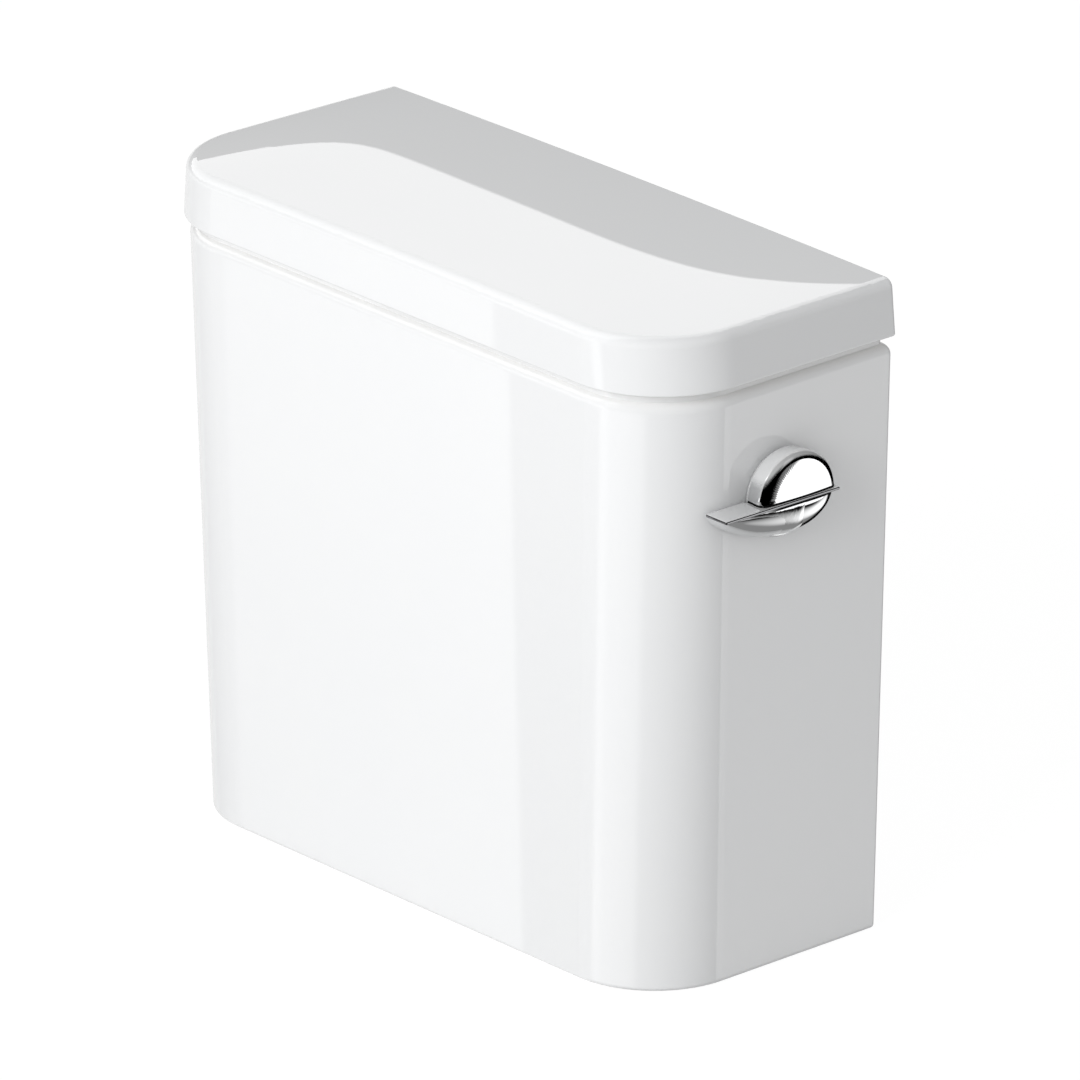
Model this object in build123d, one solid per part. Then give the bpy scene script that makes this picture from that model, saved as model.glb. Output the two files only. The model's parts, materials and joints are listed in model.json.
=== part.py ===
from build123d import *

import math
import os

# Close-coupled toilet cistern of glazed china with a side trip lever, a flapper flush valve and a float-cup
# fill valve. Millimetres, +X to the right seen from the front, +Y towards the wall, +Z up. The origin is the
# centre of the flush outlet in the plane of the tank's underside.

# Whole cistern
overall_height = 370.0
outlet_to_back = 57.0
overrun = 5.0
quarter_turn = 90.0
running_clearance = 0.06
thread_clearance = 0.15
moving_gap = 0.4
seat_gap = 0.3

# Tank shell: the width is measured at the back of the shoulder, and the leans are from there to the foot
top_width = 400.3
top_depth = 169.5
side_lean = 9.75
front_lean = 4.8
front_flare = 3.4
tank_corner = 53.4
wall = 10.0
rim_wall = 9.0
floor_thickness = 12.0
foot_round = 2.5
shoulder_round = 6.0
neck_height = 3.6
neck_inset = 3.6
rim_round = 1.5
floor_round = 8.0
outlet_hole_radius = 33.0
supply_hole_radius = 13.0
bolt_hole_radius = 6.0

# Lid
lid_height = 31.4
lid_side_overhang = 3.35
lid_front_overhang = 3.1
lid_side_lean = 3.05
lid_front_lean = -0.4
lid_edge_round = 5.8
lid_back_round = 2.5
lid_lip_round = 1.2
lid_crown = 1.6
lid_wall = 12.0
lid_thickness = 9.5
lid_inside_round = 6.0
lid_nib_drop = 7.0
lid_nib_length = 26.0
lid_nib_thickness = 7.0
lid_nib_play = 1.6
lid_nib_offset = 120.0

# Rubber pads between the lid and the rim
pad_thickness = 1.0
pad_width = 4.0
pad_length = 14.0
pad_front_y = -45.0
pad_back_y = 20.0

# Trip lever on the right-hand side: chrome handle, its escutcheon and its bushing through the wall
lever_setback = 90.5
lever_drop = 63.0
escutcheon_stand_off = 1.2
escutcheon_radius = 24.2
escutcheon_thickness = 2.2
escutcheon_round = 0.8
gasket_radius = 23.5
bushing_square = 16.0
square_hole_clearance = 0.5
bushing_corner = 2.0
bushing_flange_radius = 12.0
bushing_flange_thickness = 2.0
bushing_thread_radius = 7.9
bushing_length = 31.4
bushing_washer_radius = 15.0
bushing_washer_reach = 15.0
bushing_nut_flats = 27.0
bushing_nut_thickness = 8.0
nut_chamfer = 1.0
drum_base_radius = 25.6
drum_face_radius = 26.5
drum_depth = 12.2
drum_face_round = 4.6
drum_crown = 1.5
blade_reach = 53.0
blade_thickness = 1.8
blade_overhang = 2.0
blade_tank_gap = 1.7
blade_tip_round = 0.8
blade_edge_round = 0.6
belly_depth = 22.0
belly_inset = 1.0
belly_power = 1.6
belly_station_shares = (0.0, 0.12, 0.25, 0.4, 0.55, 0.7, 0.84, 0.95)

# Spindle, hub and trip arm inside the tank
spindle_radius = 5.0
spindle_socket = 8.0
hub_radius = 8.5
hub_length = 22.0
spindle_in_hub = 11.0
arm_in_hub = 8.0
screw_radius = 2.0
screw_head_rise = 1.2
screw_slot_width = 0.8
arm_radius = 3.0
arm_bend = 12.0
arm_reach = 49.0
arm_rest_angle = 6.0
paddle_thickness = 2.4
paddle_half_width = 4.6
paddle_hole_radius = 1.9
paddle_hole_pitch = 8.0
paddle_root = 34.0

# Lift chain and its clip
link_count = 14
wire_sides = 6
link_wire = 0.8
link_half_width = 3.0
clip_wire = 1.0
clip_length = 24.0
clip_half_width = 3.4
clip_gate = 3.0

# Flush valve with its overflow tube
waterway_radius = 25.4
valve_thread_radius = 30.0
valve_thread_drop = 34.0
valve_washer_thickness = 5.0
valve_washer_radius = 40.5
valve_washer_bevel = 2.5
valve_flange_radius = 40.0
valve_flange_thickness = 4.0
seat_height = 52.0
seat_bore = 27.0
seat_outer = 31.5
seat_lip = 1.2
throat_taper = 6.0
overflow_offset = 58.0
overflow_radius = 14.5
overflow_wall = 2.0
overflow_drop = 92.6
socket_wall = 3.5
socket_height = 24.0
tube_in_socket = 16.0
duct_width = 24.0
duct_wall = 3.0
ear_thickness = 3.5
ear_radius = 5.0
hinge_offset = 42.0
hinge_rise = 9.0
peg_radius = 2.5
peg_head_radius = 3.6
peg_head_thickness = 1.6
valve_nut_thickness = 11.0
valve_nut_radius = 39.5
valve_nut_lobe = 2.6
valve_nut_lobes = 8
bowl_gasket_depth = 28.0
bowl_gasket_radius = 52.0
bowl_gasket_foot_radius = 47.0

# Flapper
flapper_radius = 36.0
flapper_seal_thickness = 3.0
bulb_radius = 23.0
bulb_depth = 24.0
bulb_foot_radius = 13.0
bulb_waist_share = 0.55
bulb_wall = 2.5
frame_outer_radius = 30.0
frame_inner_radius = 17.0
frame_thickness = 3.0
frame_bar_width = 9.0
flapper_ear_width = 4.4
flapper_ear_radius = 5.5
eye_plate = 3.0
eye_hole_radius = 2.4
eye_radius = 4.8

# Tank bolts
bolt_spacing = 152.4
bolt_radius = 3.97
bolt_body_radius = 3.9
bolt_length = 63.5
bolt_head_radius = 9.0
bolt_head_thickness = 4.5
bolt_head_round = 1.6
bolt_slot_width = 1.6
bolt_slot_depth = 1.8
bolt_rubber_radius = 13.5
bolt_rubber_thickness = 4.0
bolt_washer_radius = 11.0
bolt_washer_thickness = 1.5
bolt_nut_flats = 12.7
bolt_nut_thickness = 6.5

# Fill valve
fill_to_side = 50.4
fill_y = -28.0
shank_radius = 11.1
shank_body_radius = 10.8
shank_drop = 40.0
shank_bore = 5.5
shank_washer_thickness = 3.0
shank_washer_radius = 18.0
shank_flange_radius = 19.0
shank_flange_thickness = 4.0
shank_nut_flats = 33.0
shank_nut_thickness = 9.0
fill_base_radius = 13.2
fill_base_top = 60.0
riser_radius = 10.0
riser_bore = 7.0
riser_foot = 28.0
lock_ring_radius = 16.5
lock_ring_skirt = 7.0
lock_ring_lip = 4.5
lock_ring_grips = 10
grip_radius = 1.2
head_drop = 75.6
head_neck_radius = 13.5
head_radius = 24.0
head_cone_height = 7.0
head_height = 28.0
chamber_radius = 20.0
chamber_depth = 8.0
diaphragm_radius = 22.0
diaphragm_thickness = 2.0
cap_radius = 26.2
cap_thickness = 10.0
cap_skirt = 8.0
cap_round = 3.0
cap_grips = 12
lever_ear_thickness = 3.0
lever_ear_gap = 10.4
lever_ear_radius = 4.0
lever_pin_rise = 8.0
lever_pin_radius = 1.5

# Float cup, water-level screw and valve lever
float_travel = 12.0
float_radius = 37.0
float_wall = 2.0
float_height = 62.0
float_top_gap = 3.0
float_sleeve_play = 0.6
float_edge_round = 5.0
level_screw_radius = 2.0
level_screw_offset = 42.0
level_screw_length = 100.0
level_head_radius = 4.0
level_head_height = 4.0
level_collar_height = 2.5
clip_boss_radius = 5.0
clip_boss_height = 10.0
valve_lever_swing = 14.0
valve_lever_thickness = 3.0
valve_lever_width = 9.0
valve_lever_hub_radius = 3.6

# Refill tube and its clip on the overflow tube
refill_tube_radius = 4.5
refill_tube_bore = 3.3
nipple_play = 0.1
nipple_bore = 2.0
head_nipple_length = 14.0
clip_nipple_length = 8.0
nipple_height_share = 0.46
refill_clip_angle = 45.0
refill_bend_radius = 48.0
refill_nozzle_offset = 7.6
refill_nozzle_drop = 16.0
refill_nozzle_radius = 3.8
refill_clip_rise = 7.0
clip_leg_thickness = 1.8
clip_leg_drop = 9.0
clip_half_span = 5.0

# Heights that follow from the sizes above
lid_bottom = overall_height - lid_height
rim_height = lid_bottom - pad_thickness
shoulder_height = rim_height - neck_height
lever_y = outlet_to_back - top_depth + lever_setback
lever_z = shoulder_height - lever_drop
overflow_top = rim_height - overflow_drop
head_bottom = rim_height - head_drop
hinge_z = seat_height + hinge_rise
arm_angle = math.radians(arm_rest_angle)
eye_y = -hinge_offset + arm_reach * math.cos(arm_angle)
eye_z = hinge_z + arm_reach * math.sin(arm_angle)
fill_x = fill_to_side + wall + side_lean - top_width / 2
chain_top_y = lever_y + arm_reach * math.cos(arm_angle)
chain_top_z = lever_z + arm_reach * math.sin(arm_angle)
seal_bottom = seat_height + seat_gap
frame_bottom = seal_bottom + flapper_seal_thickness
head_top = head_bottom + head_height
cap_top = head_top + cap_thickness
lever_pin_z = cap_top + lever_pin_rise
half_swing = math.radians(valve_lever_swing / 2)
valve_lever_reach = float_travel / (2 * math.sin(half_swing))
level_screw_y = fill_y - level_screw_offset
lever_pin_y = level_screw_y + valve_lever_reach * math.cos(half_swing)
valve_lever_tip_z = lever_pin_z - valve_lever_reach * math.sin(half_swing)
float_top = head_bottom - float_travel - float_top_gap

BASE = (Align.CENTER, Align.CENTER, Align.MIN)
CORNER = (Align.MIN, Align.MIN, Align.MIN)


# Small helpers for upright and sideways shapes
def post(radius, low, high, x=0.0, y=0.0):
    return Pos(x, y, low) * Cylinder(radius, high - low, align=BASE)


def rod_x(radius, x_low, x_high, y, z):
    return Pos(x_low, y, z) * Rot(0, quarter_turn, 0) * Cylinder(radius, x_high - x_low, align=BASE)


def block(low, high):
    size = [b - a for a, b in zip(low, high)]
    return Pos(*low) * Box(*size, align=CORNER)


def turned(points, x=0.0, y=0.0):
    profile = Plane.XZ * make_face(Polyline(*points, close=True))
    return Pos(x, y, 0) * revolve(profile, axis=Axis.Z)


def side_plate(face, x_low, x_high):
    """Extrude an outline drawn in Y and Z from one X to another."""
    return Pos(x_low, 0, 0) * extrude(Plane.YZ * face, x_high - x_low)


def hull_of(*circles):
    """Outline round circles given as (y, z, radius)."""
    rounds = [Pos(y, z) * Circle(radius) for y, z, radius in circles]
    return make_hull([edge for ring in rounds for edge in ring.edges()])


def hex_nut(flats, bore, low, high, x=0.0, y=0.0):
    body = Pos(x, y, low) * extrude(RegularPolygon(flats / 2, 6, major_radius=False), high - low)
    corner = flats / 2 / math.cos(math.pi / 6)
    cone = turned([(0, low), (corner - nut_chamfer, low), (corner, low + nut_chamfer),
                   (corner, high), (0, high)], x, y)
    return (body & cone) - post(bore, low - overrun, high + overrun, x, y)


# Leaning forms: a level is (height, half width at the back, depth), and the sides spread towards the front
flare_slope = front_flare / top_depth


def inset_level(height, half_width, depth, inset):
    return height, half_width - inset, depth - 2 * inset


def tank_level(height, inset=0.0, at=None):
    """The tank's size at a height, or at another height given as at, drawn in by an inset."""
    below = 1 - (height if at is None else at) / shoulder_height
    return inset_level(height, top_width / 2 - side_lean * below, top_depth - front_lean * below, inset)


def lid_level(height, inset=0.0):
    share = (height - lid_bottom) / lid_height
    half_width = top_width / 2 + lid_side_overhang - lid_side_lean * share
    depth = top_depth + lid_front_overhang - lid_front_lean * share
    return inset_level(height, half_width, depth, inset)


def leaning_block(low, high, inset, corner):
    """Block between two levels with a flat upright back, its front and sides cut by leaning planes."""
    back = outlet_to_back - inset
    floor, half_width, depth = low
    top, top_half, top_reach = high
    rise = top - floor
    side_slope = (top_half - half_width) / rise
    front_slope = (top_reach - depth) / rise
    longest = max(depth, top_reach) + overrun
    widest = max(half_width, top_half) + flare_slope * longest + overrun
    body = block((-widest, back - longest, floor), (widest, back, top))
    for side in (-1, 1):
        flank = Plane((side * half_width, back, floor), z_dir=(side, flare_slope, -side_slope))
        body = split(body, bisect_by=flank, keep=Keep.BOTTOM)
    front = Plane((0, back - depth, floor), z_dir=(0, -1, -front_slope))
    body = split(body, bisect_by=front, keep=Keep.BOTTOM)
    return fillet(uprights(body)[:2], corner - inset)


def uprights(body):
    """The edges that run from bottom to top, the foremost first."""
    rise = body.bounding_box().size.Z
    return body.edges().filter_by(lambda edge: edge.bounding_box().size.Z > rise / 2).sort_by(Axis.Y)


def round_end(body, radius, end):
    """Round the lower (0) or upper (-1) end's edges and the two back corners with one radius."""
    return fillet([*body.edges().group_by(Axis.Z)[end], *uprights(body)[-2:]], radius)


def tank_side(y, z):
    """X of the tank's outer right-hand side at a place on it."""
    return tank_level(z)[1] + flare_slope * (outlet_to_back - y)


lever_side = tank_side(lever_y, lever_z)
escutcheon_back = lever_side + escutcheon_stand_off
escutcheon_face = escutcheon_back + escutcheon_thickness
bushing_face = escutcheon_face + bushing_flange_thickness
bushing_end = escutcheon_face - bushing_length
drum_back = escutcheon_face + moving_gap
drum_face = drum_back + drum_depth
blade_edge = drum_face + blade_overhang
hub_outer = bushing_end - moving_gap
hub_inner = hub_outer - hub_length


# Tank shell
def lever_hole(clearance):
    """Square prism through the right-hand wall, round the bushing's square neck."""
    side = bushing_square + 2 * clearance
    outline = make_face(Rectangle(side, side).edges())
    outline = fillet(outline.vertices(), bushing_corner)
    outline = Pos(lever_y, lever_z) * outline
    return side_plate(outline, lever_side - 2 * wall, lever_side + wall)


def make_tank_shell():
    shell = leaning_block(tank_level(0), tank_level(shoulder_height), 0, tank_corner)
    shell = round_end(shell, foot_round, 0)
    shell = fillet(shell.edges().group_by(Axis.Z)[-1], shoulder_round)
    neck_low = tank_level(shoulder_height - shoulder_round, neck_inset, shoulder_height)
    neck_high = tank_level(rim_height, neck_inset, shoulder_height)
    neck = leaning_block(neck_low, neck_high, neck_inset, tank_corner)
    shell += fillet(uprights(neck)[-2:], neck_inset)
    mouth = tank_level(rim_height + overrun, neck_inset + rim_wall, shoulder_height)
    cavity = leaning_block(tank_level(floor_thickness, wall), mouth, wall, tank_corner)
    shell -= round_end(cavity, floor_round, 0)
    rim = shell.edges().filter_by(lambda e: e.bounding_box().min.Z > rim_height - rim_round / 2)
    shell = fillet(rim, rim_round)
    shell -= post(outlet_hole_radius, -overrun, floor_thickness + overrun)
    shell -= post(supply_hole_radius, -overrun, floor_thickness + overrun, fill_x, fill_y)
    for side in (-1, 1):
        shell -= post(bolt_hole_radius, -overrun, floor_thickness + overrun, side * bolt_spacing / 2)
    return shell - lever_hole(square_hole_clearance)


# Lid with its crowned top and the nibs that keep it from sliding
def lid_nib(side, back):
    mouth_back = outlet_to_back - wall
    mouth_depth = top_depth - 2 * (neck_inset + rim_wall)
    inner_face = mouth_back if back else mouth_back - mouth_depth
    sign = 1 if back else -1
    outer = inner_face - sign * lid_nib_play
    inner = outer - sign * lid_nib_thickness
    root = outlet_to_back - lid_wall / 2
    if not back:
        root = outlet_to_back - lid_level(lid_bottom)[2] + lid_wall / 2
    x = side * lid_nib_offset
    tongue = block((x - lid_nib_length / 2, min(inner, outer), lid_bottom - lid_nib_drop),
                   (x + lid_nib_length / 2, max(inner, outer), lid_bottom + lid_nib_drop))
    web = block((x - lid_nib_length / 2, min(inner, root), lid_bottom),
                (x + lid_nib_length / 2, max(inner, root), lid_bottom + lid_nib_drop))
    return tongue + web


def make_lid():
    corner = tank_corner + lid_front_overhang
    outer = leaning_block(lid_level(lid_bottom), lid_level(overall_height + lid_crown), 0, corner)
    _, half_width, depth = lid_level(lid_bottom)
    reach = half_width + front_flare
    crown_radius = (reach ** 2 + lid_crown ** 2) / (2 * lid_crown)
    middle = outlet_to_back - depth / 2
    ball = Pos(0, middle, overall_height + lid_crown - crown_radius) * Rot(quarter_turn, 0, 0) * Sphere(crown_radius)
    outer = outer & ball
    edge_ring = outer.faces().sort_by(Axis.Z)[-1].edges().sort_by(Axis.Y)
    outer = fillet(edge_ring[:-1], lid_edge_round)
    back_edge = outer.edges().filter_by(lambda e: e.center().Y > outlet_to_back - moving_gap)
    outer = fillet(back_edge.filter_by(lambda e: e.center().Z > overall_height)[-1], lid_back_round)
    outer = fillet(outer.edges().group_by(Axis.Z)[0], lid_lip_round)
    ceiling = lid_level(overall_height - lid_thickness, lid_wall)
    cavity = leaning_block(lid_level(lid_bottom - overrun, lid_wall), ceiling, lid_wall, corner)
    lid = outer - round_end(cavity, lid_inside_round, -1)
    for side in (-1, 1):
        for back in (True, False):
            lid += lid_nib(side, back)
    return lid


def make_rim_pads():
    pads = []
    for y in (pad_front_y, pad_back_y):
        rim_edge = top_width / 2 - neck_inset
        skirt_edge = lid_level(lid_bottom)[1] - lid_wall
        middle = (rim_edge + skirt_edge) / 2 + flare_slope * (outlet_to_back - y)
        for side in (-1, 1):
            place = Pos(side * middle, y, rim_height)
            pads.append(place * Box(pad_width, pad_length, pad_thickness, align=BASE))
    return pads


# Trip lever
def lever_post(radius, x_low, x_high):
    return rod_x(radius, x_low, x_high, lever_y, lever_z)


def belly_section(distance):
    """Quarter ellipse under the blade, at a distance in front of the lever's axis."""
    share = 1 - (distance / blade_reach) ** belly_power
    depth = belly_depth * share
    width = blade_edge - belly_inset - drum_back
    place = Plane((drum_back, lever_y - distance, lever_z), x_dir=(1, 0, 0), z_dir=(0, -1, 0))
    arc = EllipticalCenterArc((0, 0), width, depth, start_angle=-quarter_turn, arc_size=quarter_turn)
    return place * make_face([arc, Line((width, 0), (0, 0)), Line((0, 0), (0, -depth))])


def make_flush_handle():
    crown_radius = (drum_face_radius ** 2 + drum_crown ** 2) / (2 * drum_crown)
    crown = CenterArc((drum_face + drum_crown - crown_radius, 0), crown_radius, 0,
                      math.degrees(math.asin(drum_face_radius / crown_radius)))
    sides = Polyline((drum_face + drum_crown, 0), (drum_back, 0), (drum_back, drum_base_radius),
                     (drum_face, drum_face_radius))
    drum = revolve(make_face([crown, sides]), axis=Axis.X, revolution_arc=2 * quarter_turn)
    rings = drum.edges().filter_by(GeomType.CIRCLE)
    rim = rings.filter_by(lambda ring: abs(ring.center().X - drum_face) < moving_gap)
    drum = Pos(0, lever_y, lever_z) * fillet(rim, drum_face_round)
    front_belly = loft([belly_section(share * blade_reach) for share in belly_station_shares])
    rear_belly = revolve(belly_section(0.0), axis=Axis((drum_back, lever_y, lever_z), (1, 0, 0)),
                         revolution_arc=quarter_turn)
    blade = block((lever_side + blade_tank_gap, lever_y - blade_reach, lever_z - blade_thickness / 2),
                  (blade_edge, lever_y + drum_face_radius, lever_z + blade_thickness / 2))
    blade = fillet(blade.edges().filter_by(Axis.Z), blade_tip_round)
    blade = fillet(blade.edges().filter_by(Axis.Y).group_by(Axis.X)[-1], blade_edge_round)
    blade -= lever_post(drum_face_radius + moving_gap, lever_side, drum_back)
    handle = drum + blade + front_belly + rear_belly
    handle -= lever_post(bushing_flange_radius + moving_gap, drum_back - overrun, bushing_face + moving_gap)
    socket_end = bushing_face + moving_gap + spindle_socket
    return handle - lever_post(spindle_radius + running_clearance, drum_back, socket_end)


def make_escutcheon():
    plate = lever_post(escutcheon_radius, escutcheon_back, escutcheon_face)
    plate = fillet(plate.edges().sort_by(Axis.X)[-1], escutcheon_round)
    return plate - lever_hole(square_hole_clearance)


def make_handle_gasket(shell):
    pad = lever_post(gasket_radius, lever_side - wall / 2, escutcheon_back)
    return pad - lever_hole(square_hole_clearance) - shell


def make_bushing():
    square = make_face(Rectangle(bushing_square, bushing_square).edges())
    square = Pos(lever_y, lever_z) * fillet(square.vertices(), bushing_corner)
    body = lever_post(bushing_flange_radius, escutcheon_face, bushing_face)
    body += side_plate(square, lever_side - wall, escutcheon_face)
    body += lever_post(bushing_thread_radius, bushing_end, lever_side - wall)
    bore_radius = spindle_radius + running_clearance
    return body - lever_post(bore_radius, bushing_end - overrun, bushing_face + overrun)


washer_inner = lever_side - bushing_washer_reach
nut_inner = washer_inner - bushing_nut_thickness


def make_bushing_washer(shell):
    pad = lever_post(bushing_washer_radius, washer_inner, lever_side - wall)
    return pad - lever_hole(square_hole_clearance) - shell


def make_bushing_nut():
    outline = RegularPolygon(bushing_nut_flats / 2, 6, major_radius=False)
    body = side_plate(Pos(lever_y, lever_z) * outline, nut_inner, washer_inner)
    bore = bushing_thread_radius + thread_clearance
    return body - lever_post(bore, nut_inner - overrun, washer_inner + overrun)


def make_spindle():
    return lever_post(spindle_radius, hub_outer - spindle_in_hub, bushing_face + moving_gap + spindle_socket)


screw_x = hub_outer - spindle_in_hub / 2


def make_hub():
    hub = lever_post(hub_radius, hub_inner, hub_outer)
    hub = chamfer(hub.edges().filter_by(GeomType.CIRCLE), nut_chamfer)
    hub -= lever_post(spindle_radius + running_clearance, hub_outer - spindle_in_hub, hub_outer + overrun)
    hub -= lever_post(arm_radius + running_clearance, hub_inner - overrun, hub_inner + arm_in_hub)
    return hub - post(screw_radius + running_clearance, lever_z, lever_z + 2 * hub_radius, screw_x, lever_y)


def make_hub_screw():
    low = lever_z + spindle_radius + running_clearance
    high = lever_z + hub_radius + screw_head_rise
    screw = post(screw_radius, low, high, screw_x, lever_y)
    slot = Pos(screw_x, lever_y, high) * Box(2 * screw_radius, screw_slot_width, 2 * screw_slot_width)
    return screw - slot


def arm_point(radius):
    """Place on the trip arm's cranked end, at a radius from the lever's axis."""
    return (lever_y + radius * math.cos(arm_angle), lever_z + radius * math.sin(arm_angle))


def make_trip_arm():
    end_y, end_z = arm_point(paddle_root + paddle_half_width / 2)
    path = FilletPolyline((hub_inner + arm_in_hub, lever_y, lever_z), (0, lever_y, lever_z),
                          (0, end_y, end_z), radius=arm_bend)
    start = Plane(origin=path @ 0, z_dir=path % 0)
    arm = sweep(start * Circle(arm_radius), path=path)
    root = (*arm_point(paddle_root), paddle_half_width)
    tip = (*arm_point(arm_reach + paddle_hole_pitch), paddle_half_width)
    arm += side_plate(hull_of(root, tip), -paddle_thickness / 2, paddle_thickness / 2)
    for step in (-1, 0, 1):
        y, z = arm_point(arm_reach + step * paddle_hole_pitch)
        arm -= rod_x(paddle_hole_radius, -arm_radius, arm_radius, y, z)
    return arm


# Lift chain: every second link is turned a quarter, and the clip hangs in the trip arm's middle hole
def wire_loop(wire, half_width, length, gate=0.0):
    """Closed oval of faceted wire in the XZ plane, hanging down from its upper end's centre line."""
    lower = length - half_width
    section = RegularPolygon(wire, wire_sides)

    def leg(low, high, x):
        return Pos(x, 0, low) * extrude(section, high - low)

    bend = revolve(Pos(half_width, 0) * section, axis=Axis.Y, revolution_arc=-2 * quarter_turn)
    loop = Pos(0, 0, -half_width) * bend
    loop += Pos(0, 0, -lower) * Rot(180, 0, 0) * bend
    loop += leg(-lower, -half_width, -half_width)
    if not gate:
        return loop + leg(-lower, -half_width, half_width)
    middle = -(lower + half_width) / 2
    return loop + leg(-lower, middle - gate / 2, half_width) + leg(middle + gate / 2, -half_width, half_width)


def bend_sag(half_width, plate):
    """How far a loop's round end has curved away where it leaves a plate hung on its middle."""
    return half_width - math.sqrt(half_width ** 2 - (plate / 2) ** 2)


chain_y = chain_top_y - eye_y
chain_z = chain_top_z - eye_z
chain_length = math.hypot(chain_y, chain_z)
chain_lean = math.degrees(math.atan2(chain_y, chain_z))
clip_start = paddle_hole_radius - clip_wire - seat_gap - bend_sag(clip_half_width, paddle_thickness)
links_start = clip_start + clip_length - clip_wire - link_wire - seat_gap
links_end = chain_length - (eye_hole_radius - link_wire - seat_gap - bend_sag(link_half_width, eye_plate))
link_overlap = 2 * link_wire + seat_gap
link_length = (links_end - links_start + (link_count - 1) * link_overlap) / link_count


def on_chain(shape, distance):
    """Hang a shape on the chain's line, at a distance below the trip arm's hole."""
    line = Pos(0, chain_top_y, chain_top_z) * Rot(-chain_lean, 0, 0)
    return line * Pos(0, 0, -distance) * shape


def make_chain_clip():
    return on_chain(wire_loop(clip_wire, clip_half_width, clip_length, clip_gate), clip_start)


def make_lift_chain():
    link = wire_loop(link_wire, link_half_width, link_length)
    links = []
    for number in range(link_count):
        from_flapper = link_count - 1 - number
        turn = quarter_turn * (from_flapper % 2)
        links.append(on_chain(Rot(0, 0, turn) * link, links_start + number * (link_length - link_overlap)))
    return links


# Flush valve
def make_flush_valve_body():
    flange_low = floor_thickness + valve_washer_thickness
    flange_high = flange_low + valve_flange_thickness
    body = turned([(0, -valve_thread_drop), (valve_thread_radius, -valve_thread_drop),
                   (valve_thread_radius, flange_low), (valve_flange_radius, flange_low),
                   (valve_flange_radius, flange_high), (seat_outer, flange_high),
                   (seat_outer, seat_height), (0, seat_height)])
    body = chamfer(body.edges().group_by(Axis.Z)[-1], seat_lip)
    socket_radius = overflow_radius + socket_wall
    socket_top = flange_high + socket_height
    body += post(socket_radius, flange_low, socket_top, 0.0, -overflow_offset)
    duct_top = socket_top - duct_wall
    body += block((-duct_width / 2, -overflow_offset, flange_low), (duct_width / 2, 0, duct_top))
    ear_outline = hull_of((-hinge_offset, hinge_z, ear_radius),
                          (-overflow_offset, flange_high + ear_radius, ear_radius),
                          (-hinge_offset, flange_high + ear_radius, ear_radius))
    for side in (-1, 1):
        inner = overflow_radius + seat_gap
        outer = inner + ear_thickness
        low, high = sorted((side * inner, side * outer))
        body += side_plate(ear_outline, low, high)
        peg_end = outer + 2 * moving_gap + flapper_ear_width
        low, high = sorted((side * outer, side * peg_end))
        body += rod_x(peg_radius, low, high, -hinge_offset, hinge_z)
        low, high = sorted((side * peg_end, side * (peg_end + peg_head_thickness)))
        body += rod_x(peg_head_radius, low, high, -hinge_offset, hinge_z)
    throat = turned([(0, -valve_thread_drop - overrun), (waterway_radius, -valve_thread_drop - overrun),
                     (waterway_radius, flange_low), (seat_bore, flange_low + throat_taper),
                     (seat_bore, seat_height + overrun), (0, seat_height + overrun)])
    tube_seat = socket_top - tube_in_socket
    tube_bore = overflow_radius - overflow_wall
    body -= throat
    body -= post(overflow_radius + running_clearance, tube_seat, socket_top + overrun, 0.0, -overflow_offset)
    body -= post(tube_bore, flange_low + duct_wall, socket_top, 0.0, -overflow_offset)
    body -= block((duct_wall - duct_width / 2, -overflow_offset, flange_low + duct_wall),
                  (duct_width / 2 - duct_wall, 0, tube_seat - duct_wall))
    return body


socket_top_z = floor_thickness + valve_washer_thickness + valve_flange_thickness + socket_height


def make_overflow_tube():
    low = socket_top_z - tube_in_socket
    tube = post(overflow_radius, low, overflow_top, 0.0, -overflow_offset)
    return tube - post(overflow_radius - overflow_wall, low - overrun, overflow_top + overrun, 0.0,
                       -overflow_offset)


def make_flush_valve_washer():
    top = floor_thickness + valve_washer_thickness
    inner = valve_thread_radius + thread_clearance
    return turned([(inner, floor_thickness), (valve_washer_radius - valve_washer_bevel, floor_thickness),
                   (valve_washer_radius, floor_thickness + valve_washer_bevel),
                   (valve_washer_radius, top), (inner, top)])


def make_flush_valve_nut():
    nut = post(valve_nut_radius, -valve_nut_thickness, 0)
    for number in range(valve_nut_lobes):
        angle = 2 * math.pi * number / valve_nut_lobes
        reach = valve_nut_radius
        nut += post(valve_nut_lobe, -valve_nut_thickness, 0, reach * math.cos(angle), reach * math.sin(angle))
    return nut - post(valve_thread_radius + thread_clearance, -valve_nut_thickness - overrun, overrun)


def make_bowl_gasket():
    recess = valve_nut_radius + valve_nut_lobe + seat_gap
    inner = valve_thread_radius + seat_gap
    return turned([(recess, 0), (bowl_gasket_radius, 0), (bowl_gasket_radius, -valve_nut_thickness),
                   (bowl_gasket_foot_radius, -bowl_gasket_depth), (inner, -bowl_gasket_depth),
                   (inner, -valve_nut_thickness), (recess, -valve_nut_thickness)])


# Flapper: a rubber seal with its hollow bulb under a stiff frame that turns on the pegs
def make_flapper_seal():
    top = frame_bottom
    foot = seal_bottom - bulb_depth
    inner_top = seal_bottom - bulb_wall
    outer_curve = [(0, top), (flapper_radius, top), (flapper_radius, seal_bottom), (bulb_radius, seal_bottom)]
    waist = seal_bottom - bulb_depth * bulb_waist_share
    waist_radius = bulb_radius - bulb_wall
    outer_curve += [(waist_radius, waist), (bulb_foot_radius, foot)]
    inner_curve = [(bulb_foot_radius - bulb_wall, foot), (waist_radius - bulb_wall, waist),
                   (bulb_radius - 2 * bulb_wall, inner_top), (0, inner_top)]
    return turned(outer_curve + inner_curve)


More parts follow.
